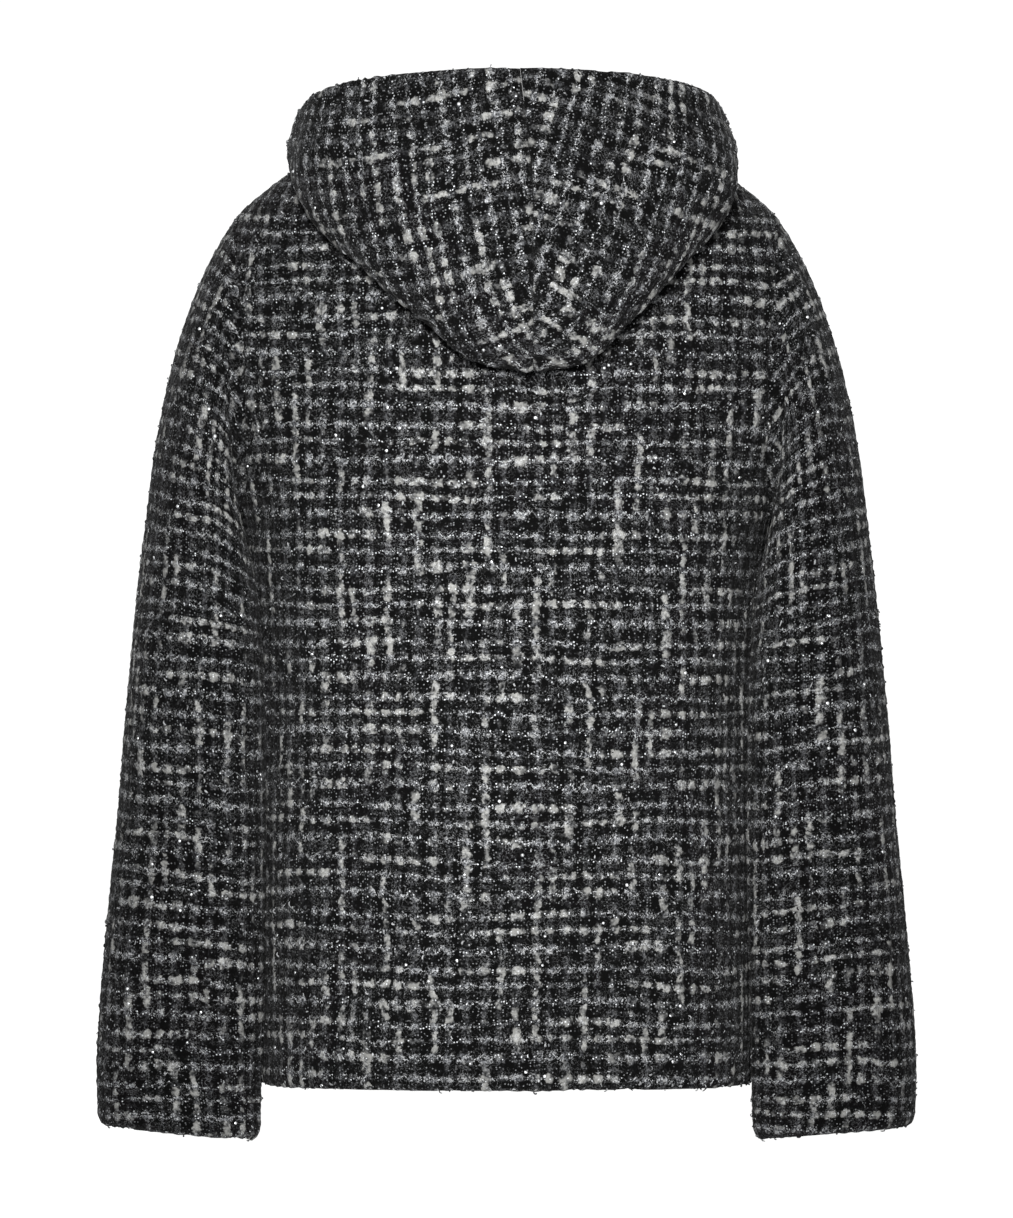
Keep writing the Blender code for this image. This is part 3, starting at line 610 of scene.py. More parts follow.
def body_point(turn, height):
    """A point of the body's outer face: turn 0 is the back, pi the front."""
    power = body_size("squareness", height)
    side = body_size("side", height)
    across, along = np.sin(turn), np.cos(turn)
    radius = (np.abs(across) ** power + np.abs(along) ** power) ** (-1.0 / power)
    depth = np.where(along >= 0.0, body_size("back", height) - side, side - body_size("front", height))
    out = 0.0
    for at_turn, at_height, spread_turn, spread_height, fold in BODY_FOLDS:
        out = out + fold * np.exp(
            -((turn - at_turn) / spread_turn) ** 2 - ((height - at_height) / spread_height) ** 2)
    x = body_size("half_width", height) * radius * across + out * across
    y = side + depth * radius * along + out * along
    return np.stack([x, y, np.broadcast_to(height, x.shape)], axis=-1)


def unit(vectors):
    """Vectors of length one."""
    return vectors / np.maximum(np.linalg.norm(vectors, axis=-1, keepdims=True), 1e-12)


def body_normal(turn, height):
    """The direction straight out of the body at a point."""
    step = NORMAL_STEP
    round_body = body_point(turn + step, height) - body_point(turn - step, height)
    up_body = body_point(turn, np.minimum(height + step, 0.0)) - body_point(turn, height - step)
    return unit(np.cross(up_body, round_body))


def armhole_turn(height, drop_depth, forward):
    """The turn at which the body reaches a depth in front of or behind its side."""
    power = body_size("squareness", height)
    side = body_size("side", height)
    reach = side - body_size("front", height) if forward else body_size("back", height) - side
    ratio = np.clip(drop_depth / reach, 1e-9, 0.999)
    return np.arctan2((ratio ** -power - 1.0) ** (1.0 / power), 1.0)


def armhole_edge(forward, steps):
    """Heights and turns up one side of an armhole."""
    middle = 0.5 * (UNDERARM_HEIGHT + SHOULDER_TIP_HEIGHT)
    half = 0.5 * (SHOULDER_TIP_HEIGHT - UNDERARM_HEIGHT)
    around = np.linspace(0.0, math.pi, steps + 1)
    heights = middle - half * np.cos(around)
    return heights, armhole_turn(heights, ARMHOLE_DEPTH * np.sin(around), forward)


def panel_grid(forward, across):
    """Turns and heights of a half panel, from its middle (0) to its edge (1)."""
    hole_height, hole_turn = armhole_edge(forward, ARMHOLE_STEPS)
    side = np.linspace(HEM_HEIGHT, UNDERARM_HEIGHT, BODY_STEPS, endpoint=False)
    up = np.arange(1, SHOULDER_STEPS + 1) / SHOULDER_STEPS
    shoulder = SHOULDER_TIP_HEIGHT * (1.0 - up) ** SHOULDER_ROWS_CROWD
    edge_height = np.concatenate([side, hole_height, shoulder])
    edge_turn = np.full(len(edge_height), 0.5 * math.pi)
    edge_turn[BODY_STEPS:BODY_STEPS + ARMHOLE_STEPS + 1] = hole_turn
    neckline = NECKLINE_FRONT if forward else NECKLINE_BACK
    drop = (NECK_DROP_FRONT if forward else NECK_DROP_BACK) * smooth_curve(
        column(neckline, NECKLINE, "along"), column(neckline, NECKLINE, "drop"), 1.0 - np.abs(across))
    even_height = edge_height.copy()
    even_height[BODY_STEPS:BODY_STEPS + ARMHOLE_STEPS + 1] = np.linspace(
        UNDERARM_HEIGHT, SHOULDER_TIP_HEIGHT, ARMHOLE_STEPS + 1)
    inside = 1.0 - across ** 4
    heights = edge_height[:, None] + (even_height - edge_height)[:, None] * inside[None, :]
    share = np.clip(heights / NECK_DROP_STARTS, 0.0, 1.0)
    heights = heights - (1.0 - share) ** 2 * drop[None, :]
    if not forward:
        return edge_turn[:, None] * across[None, :], heights
    down = np.clip(heights / HEM_HEIGHT, 0.0, 1.0)
    opening = FRONT_OPENING_TOP + (FRONT_OPENING_HEM - FRONT_OPENING_TOP) * down
    middle = math.pi - opening / body_size("half_width", heights)
    return middle + (math.pi - edge_turn[:, None] - middle) * across[None, :], heights


def edge_moves(points, normals, distance):
    """Moves that bring a closed loop of edge points in by a distance."""
    ahead = np.roll(points, -1, axis=0) - points
    inwards = unit(np.cross(normals, ahead))
    before = np.roll(inwards, 1, axis=0)
    cosine = np.sum(inwards * before, axis=1, keepdims=True)
    return distance * (inwards + before) / np.maximum(1.0 + cosine, SHARPEST_CORNER)


def trim_grid(points, normals, distance):
    """The grid with its edges moved in by a distance, within its own surface."""
    rows, columns = points.shape[0] - 1, points.shape[1] - 1
    loop = [(0, c) for c in range(columns)] + [(r, columns) for r in range(rows)]
    loop += [(rows, c) for c in range(columns, 0, -1)] + [(r, 0) for r in range(rows, 0, -1)]
    row, place = np.array(loop).T
    trimmed = points.copy()
    trimmed[row, place] += edge_moves(points[row, place], normals[row, place], distance)
    return trimmed


def grid_normals(points, closed):
    """Directions across a grid whose rows run up it and columns round it."""
    up = np.gradient(points, axis=0)
    if closed:
        ring = points[:, :-1]
        round_it = np.roll(ring, -1, axis=1) - np.roll(ring, 1, axis=1)
        round_it = np.concatenate([round_it, round_it[:, :1]], axis=1)
    else:
        round_it = np.gradient(points, axis=1)
    return unit(np.cross(round_it, up))


def soft_greater(values, least, rounding):
    """The greater of two values, with a rounded change from one to the other."""
    return 0.5 * (values + least + np.sqrt((values - least) ** 2 + rounding ** 2))


def body_reach(points):
    """How deep the body's section is before or behind its side, at each point."""
    side = body_size("side", points[..., 2])
    back = body_size("back", points[..., 2]) - side
    front = side - body_size("front", points[..., 2])
    return side, np.where(points[..., 1] >= side, back, front)


def sleeve_clear_of_body(points):
    """The sleeve beside the body, pushed out until its cloth clears it."""
    heights = points[..., 2]
    power = body_size("squareness", heights)
    side, reach = body_reach(points)
    offset = points[..., 1] - side
    share = np.clip(np.abs(offset) / reach, 0.0, 1.0)
    wall = body_size("half_width", heights) * (1.0 - share ** power) ** (1.0 / power)
    pushed = soft_greater(points[..., 0], wall + SLEEVE_TO_BODY, CLEARANCE_ROUNDING)
    middle = 0.5 * (UNDERARM_HEIGHT + SHOULDER_TIP_HEIGHT)
    half = 0.5 * (SHOULDER_TIP_HEIGHT - UNDERARM_HEIGHT)
    past_armhole = (offset / ARMHOLE_DEPTH) ** 2 + ((heights - middle) / half) ** 2 - 1.0
    over_cloth = np.clip(past_armhole / ARMHOLE_RIM, 0.0, 1.0)
    moved = points.copy()
    moved[..., 0] += (pushed - points[..., 0]) * over_cloth
    return moved


def hood_clear_of_body(points, legs):
    """The hood behind the body, pushed back until its cloth clears it."""
    heights = points[..., 2]
    power = body_size("squareness", heights)
    side, reach = body_reach(points)
    share = np.clip(np.abs(points[..., 0]) / body_size("half_width", heights), 0.0, 1.0)
    wall = side + reach * (1.0 - share ** power) ** (1.0 / power)
    pushed = soft_greater(points[..., 1], wall + HOOD_TO_BODY, CLEARANCE_ROUNDING)
    behind = np.clip((points[..., 1] - side) / HOOD_REST_STARTS, 0.0, 1.0)
    beyond_seam = np.clip(legs / HOOD_ROLL_LEG, 0.0, 1.0)[:, None]
    moved = points.copy()
    moved[..., 1] += (pushed - points[..., 1]) * behind * beyond_seam
    return moved


def spline(controls, counts):
    """A smooth path through rows of control points, a count of steps in each."""
    lead_in = 2 * controls[:1] - controls[1:2]
    lead_out = 2 * controls[-1:] - controls[-2:-1]
    ends = np.concatenate([lead_in, controls, lead_out])
    path = []
    for leg, count in enumerate(counts):
        before, start, stop, after = ends[leg:leg + 4]
        length = np.linalg.norm(stop - start, axis=-1, keepdims=True)
        into = np.linalg.norm(start - before, axis=-1, keepdims=True)
        beyond = np.linalg.norm(after - stop, axis=-1, keepdims=True)
        leave = unit(unit(start - before) * length + unit(stop - start) * into) * length
        arrive = unit(unit(stop - start) * beyond + unit(after - stop) * length) * length
        for t in np.arange(count) / count:
            share, pull, next_share, next_pull = path_weights(t)
            path.append(share * start + pull * leave + next_share * stop + next_pull * arrive)
    path.append(controls[-1])
    return np.array(path)


def run_along(points, axis):
    """Lengths run along a grid of points, in one direction, from its first row or column."""
    steps = np.linalg.norm(np.diff(points, axis=axis), axis=-1)
    start = np.zeros_like(np.take(steps, [0], axis=axis))
    return np.concatenate([start, np.cumsum(steps, axis=axis)], axis=axis)


def body_form(forward, sign):
    """Points, outward directions and flat sizes of a body panel's outer face."""
    if forward:
        across = np.linspace(0.0, 1.0, FRONT_STEPS + 1)
    else:
        across = np.linspace(-1.0, 1.0, BACK_STEPS + 1)
    turns, heights = panel_grid(forward, across)
    turns = sign * turns
    points = body_point(turns, heights)
    middle = 0 if forward else BACK_STEPS // 2
    u = run_along(points * np.array([1.0, 1.0, 0.0]), 1)
    u = u - u[:, middle:middle + 1]
    levels = np.linspace(HEM_HEIGHT, 0.0, MIDDLE_LINE_POINTS)
    middle_line = body_point(np.full(len(levels), math.pi if forward else 0.0), levels)
    v = np.interp(heights, levels, run_along(middle_line, 0))
    normals = body_normal(turns, heights)
    trim = sign * normals if forward else -normals
    return trim_grid(points, trim, 0.5 * SEAM_GAP), normals, u, v


def sleeve_form():
    """Points, outward directions and flat sizes of the left sleeve's outer face."""
    half = SLEEVE_STEPS_ROUND // 2
    back = armhole_edge(False, half)
    front = armhole_edge(True, half)
    turns = np.concatenate([back[1][:-1], math.pi - front[1][::-1][:-1]])
    heights = np.concatenate([back[0][:-1], front[0][::-1][:-1]])
    around = TURN * np.arange(len(turns)) / len(turns)
    across, beside = -np.cos(around), np.sin(around)
    power = SLEEVE_SQUARENESS
    radius = (np.abs(across) ** power + np.abs(beside) ** power) ** (-1.0 / power)
    sections = []
    for section in SLEEVE_SECTIONS:
        size = dict(zip(SLEEVE_COLUMNS, section))
        outer = np.array([size["outer_x"], size["middle_y"], size["outer_z"]])
        inner = np.array([size["inner_x"], size["middle_y"], size["inner_z"]])
        ring = 0.5 * (outer + inner) + 0.5 * (outer - inner) * (across * radius)[:, None]
        ring[:, 1] += size["half_depth"] * beside * radius
        sections.append(sleeve_clear_of_body(ring))
    seam = body_point(turns, heights)
    seam_normals = body_normal(turns, heights)
    away = edge_moves(seam, seam_normals, 1.0)
    first = seam + away * 0.5 * SEAM_GAP
    second = seam + away * SLEEVE_LEAVES_SEAM
    third = second + (sections[0] - second) * SLEEVE_TURNS
    rings = np.array([first, second, third] + sections)
    legs = np.linalg.norm(np.diff(rings, axis=0), axis=-1).mean(axis=1)
    counts = np.maximum(np.round(legs / SLEEVE_STEP), 1).astype(int)
    counts[-1] += -counts.sum() % STEPS_INSIDE
    points = spline(rings, counts)
    points = np.concatenate([points, points[:, :1]], axis=1)
    normals = grid_normals(points, True)
    normals[0, :-1] = seam_normals
    normals[0, -1] = seam_normals[0]
    return (points, normals, *sleeve_cut(points))


def sleeve_cut(points):
    """Flat sizes on the sleeve: v runs down its outer line, u round from that line."""
    outer = points[:, points.shape[1] // 2]
    line = outer[:, [0, 2]]
    run = run_along(line, 0)
    heading = unit(np.gradient(line, axis=0))
    ease = np.hanning(2 * SLEEVE_EASE_ROWS + 1)
    padded = np.pad(heading, ((SLEEVE_EASE_ROWS, SLEEVE_EASE_ROWS), (0, 0)), mode="edge")
    eased = [np.convolve(part, ease / ease.sum(), "valid") for part in padded.T]
    heading = unit(np.stack(eased, axis=-1))
    ahead = points[..., [0, 2]] - line[:, None]
    v = run[:, None] + np.sum(ahead * heading[:, None], axis=-1)
    step = np.diff(points, axis=1)
    along = np.diff(v, axis=1)
    level = np.sqrt(np.maximum(np.sum(step ** 2, axis=-1) - along ** 2, 0.0))
    u = np.concatenate([np.zeros((len(v), 1)), np.cumsum(level, axis=1)], axis=1)
    u = u - u[:, u.shape[1] // 2:u.shape[1] // 2 + 1]
    return u, run[-1] - v


def hood_form(sign):
    """Points, outward directions and flat sizes of one hood half's outer face."""
    front = panel_grid(True, np.linspace(0.0, 1.0, NECK_STEPS_FRONT + 1))
    back = panel_grid(False, np.linspace(0.0, 1.0, NECK_STEPS_BACK + 1))
    turns = np.concatenate([front[0][-1], back[0][-1][::-1][1:]])
    heights = np.concatenate([front[1][-1], back[1][-1][::-1][1:]])
    seam = body_point(turns, heights)
    seam_normals = body_normal(turns, heights)
    into_neck = unit(np.cross(seam_normals, np.gradient(seam, axis=0)))
    upwards = np.array([0.0, 0.0, 1.0])
    rise = seam + into_neck * HOOD_LEAVES_SEAM + upwards * HOOD_STANDS
    rise[-1, 0] = 0.0
    front_share = np.linspace(0.0, 0.5, NECK_STEPS_FRONT + 1)
    back_share = np.linspace(0.5, 1.0, NECK_STEPS_BACK + 1)
    along = np.concatenate([front_share, back_share[1:]])
    knots = column(HOOD_SECTIONS, HOOD_COLUMNS, "along")

    def size(name):
        return smooth_curve(knots, column(HOOD_SECTIONS, HOOD_COLUMNS, name), along)

    roll, fold, bulge, rim = (
        np.stack([size(name + axis) for axis in ("_x", "_y", "_z")], axis=-1)
        for name in ("roll", "fold", "bulge", "rim"))
    share = size("fold_share")[:, None]
    radius = HOOD_COLLAR_RADIUS + (HOOD_FOLD_RADIUS - HOOD_COLLAR_RADIUS) * share
    outwards = unit(fold * np.array([1.0, 1.0, 0.0]))
    lift = upwards * radius * share
    fold_in = fold - (outwards * share + unit(fold - roll) * (1.0 - share)) * radius + lift
    fold_out = fold + (outwards * share + unit(bulge - fold) * (1.0 - share)) * radius + lift
    points = spline(np.array([seam, rise, roll, fold_in, fold, fold_out, bulge, rim]), HOOD_STEPS)
    legs = np.interp(np.arange(len(points)), np.cumsum((0,) + HOOD_STEPS), np.cumsum((0,) + HOOD_LEGS))
    past_roll = np.clip((legs - HOOD_ROLL_LEG) / (HOOD_FOLD_LEG - HOOD_ROLL_LEG), 0.0, 1.0)
    lean = HOOD_LEAN * past_roll[:, None] * np.interp(along, *zip(*HOOD_LEAN_ALONG))[None, :]
    points[..., 0] = sign * points[..., 0] + lean * np.interp(points[..., 2], *zip(*HOOD_LEAN_UP))
    points = hood_clear_of_body(points, legs)
    normals = sign * grid_normals(points, False)
    normals[0] = seam_normals * np.array([sign, 1.0, 1.0])
    up_middle = np.gradient(points[:, -1], axis=0)
    normals[:, -1] = unit(np.stack([np.zeros(len(points)), up_middle[:, 2], -up_middle[:, 1]], axis=-1))
    u = run_along(points, 1)
    u = sign * (u[:, -1:] - u)
    v = run_along(points, 0)
    u, v = laid_flat(points, u, v - v[-1:], HOOD_POUCH_ROW)
    return trim_grid(points, sign * normals, 0.5 * SEAM_GAP), normals, u, v


def grid_area(grid):
    """The area of a grid of points, flat or not."""
    over, up = np.diff(grid, axis=1)[:-1], np.diff(grid, axis=0)[:, :-1]
    squares = np.sum(over ** 2, axis=-1) * np.sum(up ** 2, axis=-1) - np.sum(over * up, axis=-1) ** 2
    return float(np.sqrt(np.maximum(squares, 0.0)).sum())


def flat_grid(rows, columns, step):
    """A level grid of quads, one unit for each row and column, with one quad a step."""
    mesh = bmesh.new()
    size = Matrix.Diagonal((columns, rows, 1.0, 1.0))
    bmesh.ops.create_grid(
        mesh, x_segments=columns // step, y_segments=rows // step, size=0.5, matrix=size)
    bmesh.ops.translate(mesh, verts=mesh.verts, vec=(0.5 * columns, 0.5 * rows, 0.0))
    return mesh


def corner_points(data):
    """Which point of a mesh lies at each corner of its faces."""
    corners = np.empty(len(data.loops), np.int32)
    data.loops.foreach_get("vertex_index", corners)
    return corners


def add_map(data, name, marks):
    """A UV map that holds two marks for each point of a mesh."""
    layer = data.uv_layers.new(name=name)
    layer.data.foreach_set("uv", marks[corner_points(data)].astype(np.float32).ravel())


def unwrapped(points):
    """A grid of points laid flat with the least stretch, at a size and turn of its own."""
    rows, columns = points.shape[0] - 1, points.shape[1] - 1
    mesh = flat_grid(rows, columns, 1)
    places = [(round(vert.co.y), round(vert.co.x)) for vert in mesh.verts]
    for vert, place in zip(mesh.verts, places):
        vert.co = points[place]
    data = bpy.data.meshes.new("cut")
    mesh.to_mesh(data)
    mesh.free()
    piece = bpy.data.objects.new("cut", data)
    bpy.context.scene.collection.objects.link(piece)
    bpy.ops.object.select_all(action="DESELECT")
    piece.select_set(True)
    bpy.context.view_layer.objects.active = piece
    bpy.ops.object.mode_set(mode="EDIT")
    bpy.ops.mesh.select_all(action="SELECT")
    bpy.ops.uv.unwrap(method="MINIMUM_STRETCH", margin=0.0)
    bpy.ops.object.mode_set(mode="OBJECT")
    spots = np.empty(2 * len(data.loops), np.float32)
    data.uv_layers.active.data.foreach_get("uv", spots)
    row, place = np.array(places)[corner_points(data)].T
    laid = np.zeros((rows + 1, columns + 1, 2))
    laid[row, place] = spots.reshape(-1, 2)
    bpy.data.objects.remove(piece)
    bpy.data.meshes.remove(data)
    return laid


def laid_flat(points, u, v, first_row):
    """Flat places on a piece as it is cut: unwrapped at its true area, then turned to lie
    on the rough places u and v, from one row of the piece upwards."""
    coarse = (slice(None, None, STEPS_INSIDE),) * 2
    knots = points[coarse]
    laid = unwrapped(knots)
    laid *= math.sqrt(grid_area(knots) / grid_area(laid))
    first = first_row // STEPS_INSIDE
    ours = laid[first:].reshape(-1, 2)
    rough = np.stack([u, v], axis=-1)[coarse][first:].reshape(-1, 2)
    left, _, right = np.linalg.svd((ours - ours.mean(axis=0)).T @ (rough - rough.mean(axis=0)))
    laid = (laid - ours.mean(axis=0)) @ left @ right + rough.mean(axis=0)
    row, place = np.indices(points.shape[:2]) / STEPS_INSIDE
    flat = on_grid(laid, row, place)
    return flat[..., 0], flat[..., 1]


def crease_depth(creases, u, v):
    """How far the creases move the cloth outwards, at flat places on a piece."""
    moved = np.zeros_like(u)
    for crease in creases:
        size = dict(zip(CREASE_COLUMNS, crease))
        angle = math.radians(size["angle"])
        east, north = u - size["across"], v - size["up"]
        run = (east * math.cos(angle) + north * math.sin(angle)) / size["half_length"]
        over = (north * math.cos(angle) - east * math.sin(angle)) / size["half_width"]
        moved += size["depth"] * np.exp(-run * run - over * over)
    return moved


def hand_woven(u, v, seed):
    """The same places with the slow waver that hand-laid thick yarns have."""
    waver_u = np.zeros_like(u)
    waver_v = np.zeros_like(v)
    random = np.random.default_rng(seed)
    for size, length in WAVERS:
        for _ in range(WAVES_OF_A_KIND):
            heading, start_u, start_v = random.uniform(0.0, TURN, 3)
            run = TURN / length * (u * math.cos(heading) + v * math.sin(heading))
            waver_u += size * np.sin(run + start_u) / math.sqrt(WAVES_OF_A_KIND)
            waver_v += size * np.sin(run * WAVERS_UP + start_v) / math.sqrt(WAVES_OF_A_KIND)
    return u + waver_u, v + waver_v


def edge_distances(points):
    """How far each point is from the panel's bottom, top, left and right edges."""
    up = run_along(points, 0)
    over = run_along(points, 1)
    return up, up[-1:] - up, over, over[:, -1:] - over


def edge_shape(points, edges):
    """How far the edges sink, and how much of the yarns' relief is left near them."""
    moved = np.zeros(points.shape[:2])
    fade = np.ones(points.shape[:2])
    for kind, distance in zip(edges, edge_distances(points)):
        reach, depth, flatter = EDGES[kind]
        near = np.clip(1.0 - distance / reach, 0.0, 1.0)
        moved = np.minimum(moved, -depth * (1.0 - np.sqrt(1.0 - near * near)))
        fade = np.minimum(fade, 1.0 - flatter * near)
    return moved, fade


def edge_nubs(points, edges, high):
    """Moves within the cloth that leave a free edge as uneven as its yarns' ends."""
    moves = np.zeros_like(points)
    for kind, distance, (edge, inside, axis) in zip(edges, edge_distances(points), EDGE_LINES):
        if kind in FREE_EDGES:
            outwards = unit(np.take(points, [edge], axis) - np.take(points, [inside], axis))
            size = NUB_SIZE * (np.take(high, [edge], axis) - high.mean())
            near = np.clip(1.0 - distance / NUB_REACH, 0.0, 1.0) ** 2
            moves += outwards * (size * near)[..., None]
    return moves


def seam_setbacks(points, edges):
    """Moves within the cloth that hold its inside back from its seams."""
    moves = np.zeros_like(points)
    for kind, distance, (edge, inside, axis) in zip(edges, edge_distances(points), EDGE_LINES):
        if kind == "seam":
            inwards = unit(np.take(points, [inside], axis) - np.take(points, [edge], axis))
            near = np.clip(1.0 - distance / SETBACK_REACH, 0.0, 1.0)
            moves += inwards * (SEAM_SETBACK * near)[..., None]
    return moves


def edge_growth(points, edges):
    """How many more curls grow near the free edges than elsewhere."""
    growth = np.ones(points.shape[:2])
    for kind, distance in zip(edges, edge_distances(points)):
        if kind in FREE_EDGES:
            growth += EDGE_CURLS * (distance < EDGE_CURLS_REACH)
    return growth


def shell_mesh(name, rows, columns, closed):
    """A thin flat slab of quads, fine on its outside and coarse on its inside, whose
    points stand at their own row, column and side until they are put in place."""
    mesh = flat_grid(rows, columns, STEPS_INSIDE)
    bmesh.ops.solidify(mesh, geom=mesh.faces[:], thickness=1.0)
    top = max(vert.co.z for vert in mesh.verts)
    if closed:
        joins = [
            face for face in mesh.faces
            if all(vert.co.x < 0.5 for vert in face.verts)
            or all(vert.co.x > columns - 0.5 for vert in face.verts)]
        bmesh.ops.delete(mesh, geom=joins, context="FACES_ONLY")
    outer = [edge for edge in mesh.edges if all(vert.co.z > top - 0.5 for vert in edge.verts)]
    bmesh.ops.subdivide_edges(mesh, edges=outer, cuts=STEPS_INSIDE - 1, use_grid_fill=True)
    data = bpy.data.meshes.new(name)
    mesh.to_mesh(data)
    mesh.free()
    place = np.empty(len(data.vertices) * 3, np.float32)
    data.vertices.foreach_get("co", place)
    place = place.reshape(-1, 3)
    column_at = np.clip(np.round(place[:, 0]).astype(int), 0, columns)
    row_at = np.clip(np.round(place[:, 1]).astype(int), 0, rows)
    return data, row_at, column_at, place[:, 2] > top - 0.5


def close_tube(data, seam):
    """Merges the two edges of a shell that goes all the way round."""
    mesh = bmesh.new()
    mesh.from_mesh(data)
    joined = [vert for vert, on_seam in zip(mesh.verts, seam) if on_seam]
    bmesh.ops.remove_doubles(mesh, verts=joined, dist=0.01 * MM)
    mesh.to_mesh(data)
    mesh.free()


# The outer face of a panel: grids of its points, of the directions out of them and of how
# thickly curls grow there, and whether it goes all the way round.
Surface = namedtuple("Surface", "outer_face normals growth closed")


def cloth_shell(name, form, closed, edges, creases, grain, sizes, material):
    """A panel of tweed: a thin closed shell whose outer face has its yarns raised."""
    points, normals, u, v = form
    facing = np.cross(np.gradient(points, axis=1), np.gradient(points, axis=0))
    if np.sum(facing * normals) < 0.0:
        points, normals, u, v = (grid[:, ::-1] for grid in (points, normals, u, v))
        edges = {**edges, "left": edges["right"], "right": edges["left"]}
    rows, columns = points.shape[0] - 1, points.shape[1] - 1
    data, row_at, column_at, outside = shell_mesh(name, rows, columns, closed)

    across, up = math.cos(math.radians(grain["angle"])), math.sin(math.radians(grain["angle"]))
    woven_u, woven_v = hand_woven(u * across + v * up, v * across - u * up, grain["seed"])
    woven_u = woven_u + grain["shift"][0]
    woven_v = woven_v + grain["shift"][1]
    weave = weave_arrays(woven_u, woven_v)
    raised = (weave["high"] - weave["high"].mean()) * 0.5 * sizes.relief
    creased = crease_depth(creases, u, v)
    kinds = [edges[side] for side in EDGE_SIDES]
    moved, fade = edge_shape(points, kinds)
    nubbed = points + edge_nubs(points, kinds, weave["high"])
    inside = np.maximum(CLOTH, THINNEST_EDGE - moved)
    outer_face = nubbed + normals * (creased + moved + raised * fade)[..., None]
    inner_face = nubbed + seam_setbacks(points, kinds) + normals * (creased - inside)[..., None]
    if closed:
        outer_face[:, -1] = outer_face[:, 0]
        inner_face[:, -1] = inner_face[:, 0]

    placed = np.where(outside[:, None], outer_face[row_at, column_at], inner_face[row_at, column_at])
    data.vertices.foreach_set("co", placed.astype(np.float32).ravel())
    add_map(data, "weave", np.stack([woven_u[row_at, column_at], woven_v[row_at, column_at]], axis=-1))
    if closed:
        close_tube(data, (column_at == 0) | (column_at == columns))
    piece = show_mesh(name, data, material)
    surface = Surface(outer_face, normals, edge_growth(points, kinds), closed)
    flat = (float(np.ptp(u)), float(np.ptp(v)))
    return piece, surface, flat, grid_area(points)


def show_mesh(name, data, material):
    """A finished mesh as an object at the origin, shaded smooth."""
    data.shade_smooth()
    data.materials.append(material)
    data.update()
    piece = bpy.data.objects.new(name, data)
    bpy.context.scene.collection.objects.link(piece)
    return piece


def template(shape, **sizes):
    """A small closed shape's points and faces, to be repeated many times in one mesh."""
    mesh = bmesh.new()
    shape(mesh, **sizes)
    points = np.array([vert.co for vert in mesh.verts])
    faces = [[vert.index for vert in face.verts] for face in mesh.faces]
    mesh.free()
    return points, faces


def strand(mesh, rings):
    """A three-sided strand, upright, with a ring of points at every whole height."""
    bmesh.ops.create_cone(
        mesh, cap_ends=True, segments=3, radius1=1.0, radius2=1.0, depth=rings - 1.0,
        matrix=Matrix.Translation((0.0, 0.0, 0.5 * (rings - 1.0))))
    upright = [edge for edge in mesh.edges if abs(edge.verts[0].co.z - edge.verts[1].co.z) > 0.5]
    bmesh.ops.subdivide_edges(mesh, edges=upright, cuts=rings - 2, use_grid_fill=True)
    mesh.verts.index_update()


def disc(mesh, thickness):
    """A small flat disc across Z, one unit wide."""
    bmesh.ops.create_cone(mesh, cap_ends=True, segments=8, radius1=0.5, radius2=0.5, depth=thickness)


def joined_mesh(name, places, faces, marks, map_name):
    """One mesh of many copies: a row of points for each copy, and two marks a point."""
    copies, count = places.shape[:2]
    starts = range(0, copies * count, count)
    every_face = [[number + start for number in face] for start in starts for face in faces]
    data = bpy.data.meshes.new(name)
    data.from_pydata(places.reshape(-1, 3), [], every_face)
    add_map(data, map_name, marks.reshape(-1, 2))
    return data


def on_grid(grid, row, place):
    """Values of a grid between its points, run straight on past its edges."""
    low_row = np.clip(np.floor(row).astype(int), 0, grid.shape[0] - 2)
    low_place = np.clip(np.floor(place).astype(int), 0, grid.shape[1] - 2)
    up, over = (row - low_row)[..., None], (place - low_place)[..., None]
    lower = grid[low_row, low_place] * (1.0 - over) + grid[low_row, low_place + 1] * over
    upper = grid[low_row + 1, low_place] * (1.0 - over) + grid[low_row + 1, low_place + 1] * over
    return lower * (1.0 - up) + upper * up


def scatter(outer_face, growth, count, random):
    """Random places on a panel, by area and growth: rows, columns and a step's length each way."""
    over, up = np.diff(outer_face, axis=1)[:-1], np.diff(outer_face, axis=0)[:, :-1]
    share = (np.linalg.norm(np.cross(over, up), axis=-1) * growth[:-1, :-1]).ravel()
    cell = random.choice(len(share), count, p=share / share.sum())
    row, place = np.divmod(cell, outer_face.shape[1] - 1)
    step_up = np.linalg.norm(up, axis=-1)[row, place]
    step_over = np.linalg.norm(over, axis=-1)[row, place]
    return row + random.uniform(size=count), place + random.uniform(size=count), step_up, step_over


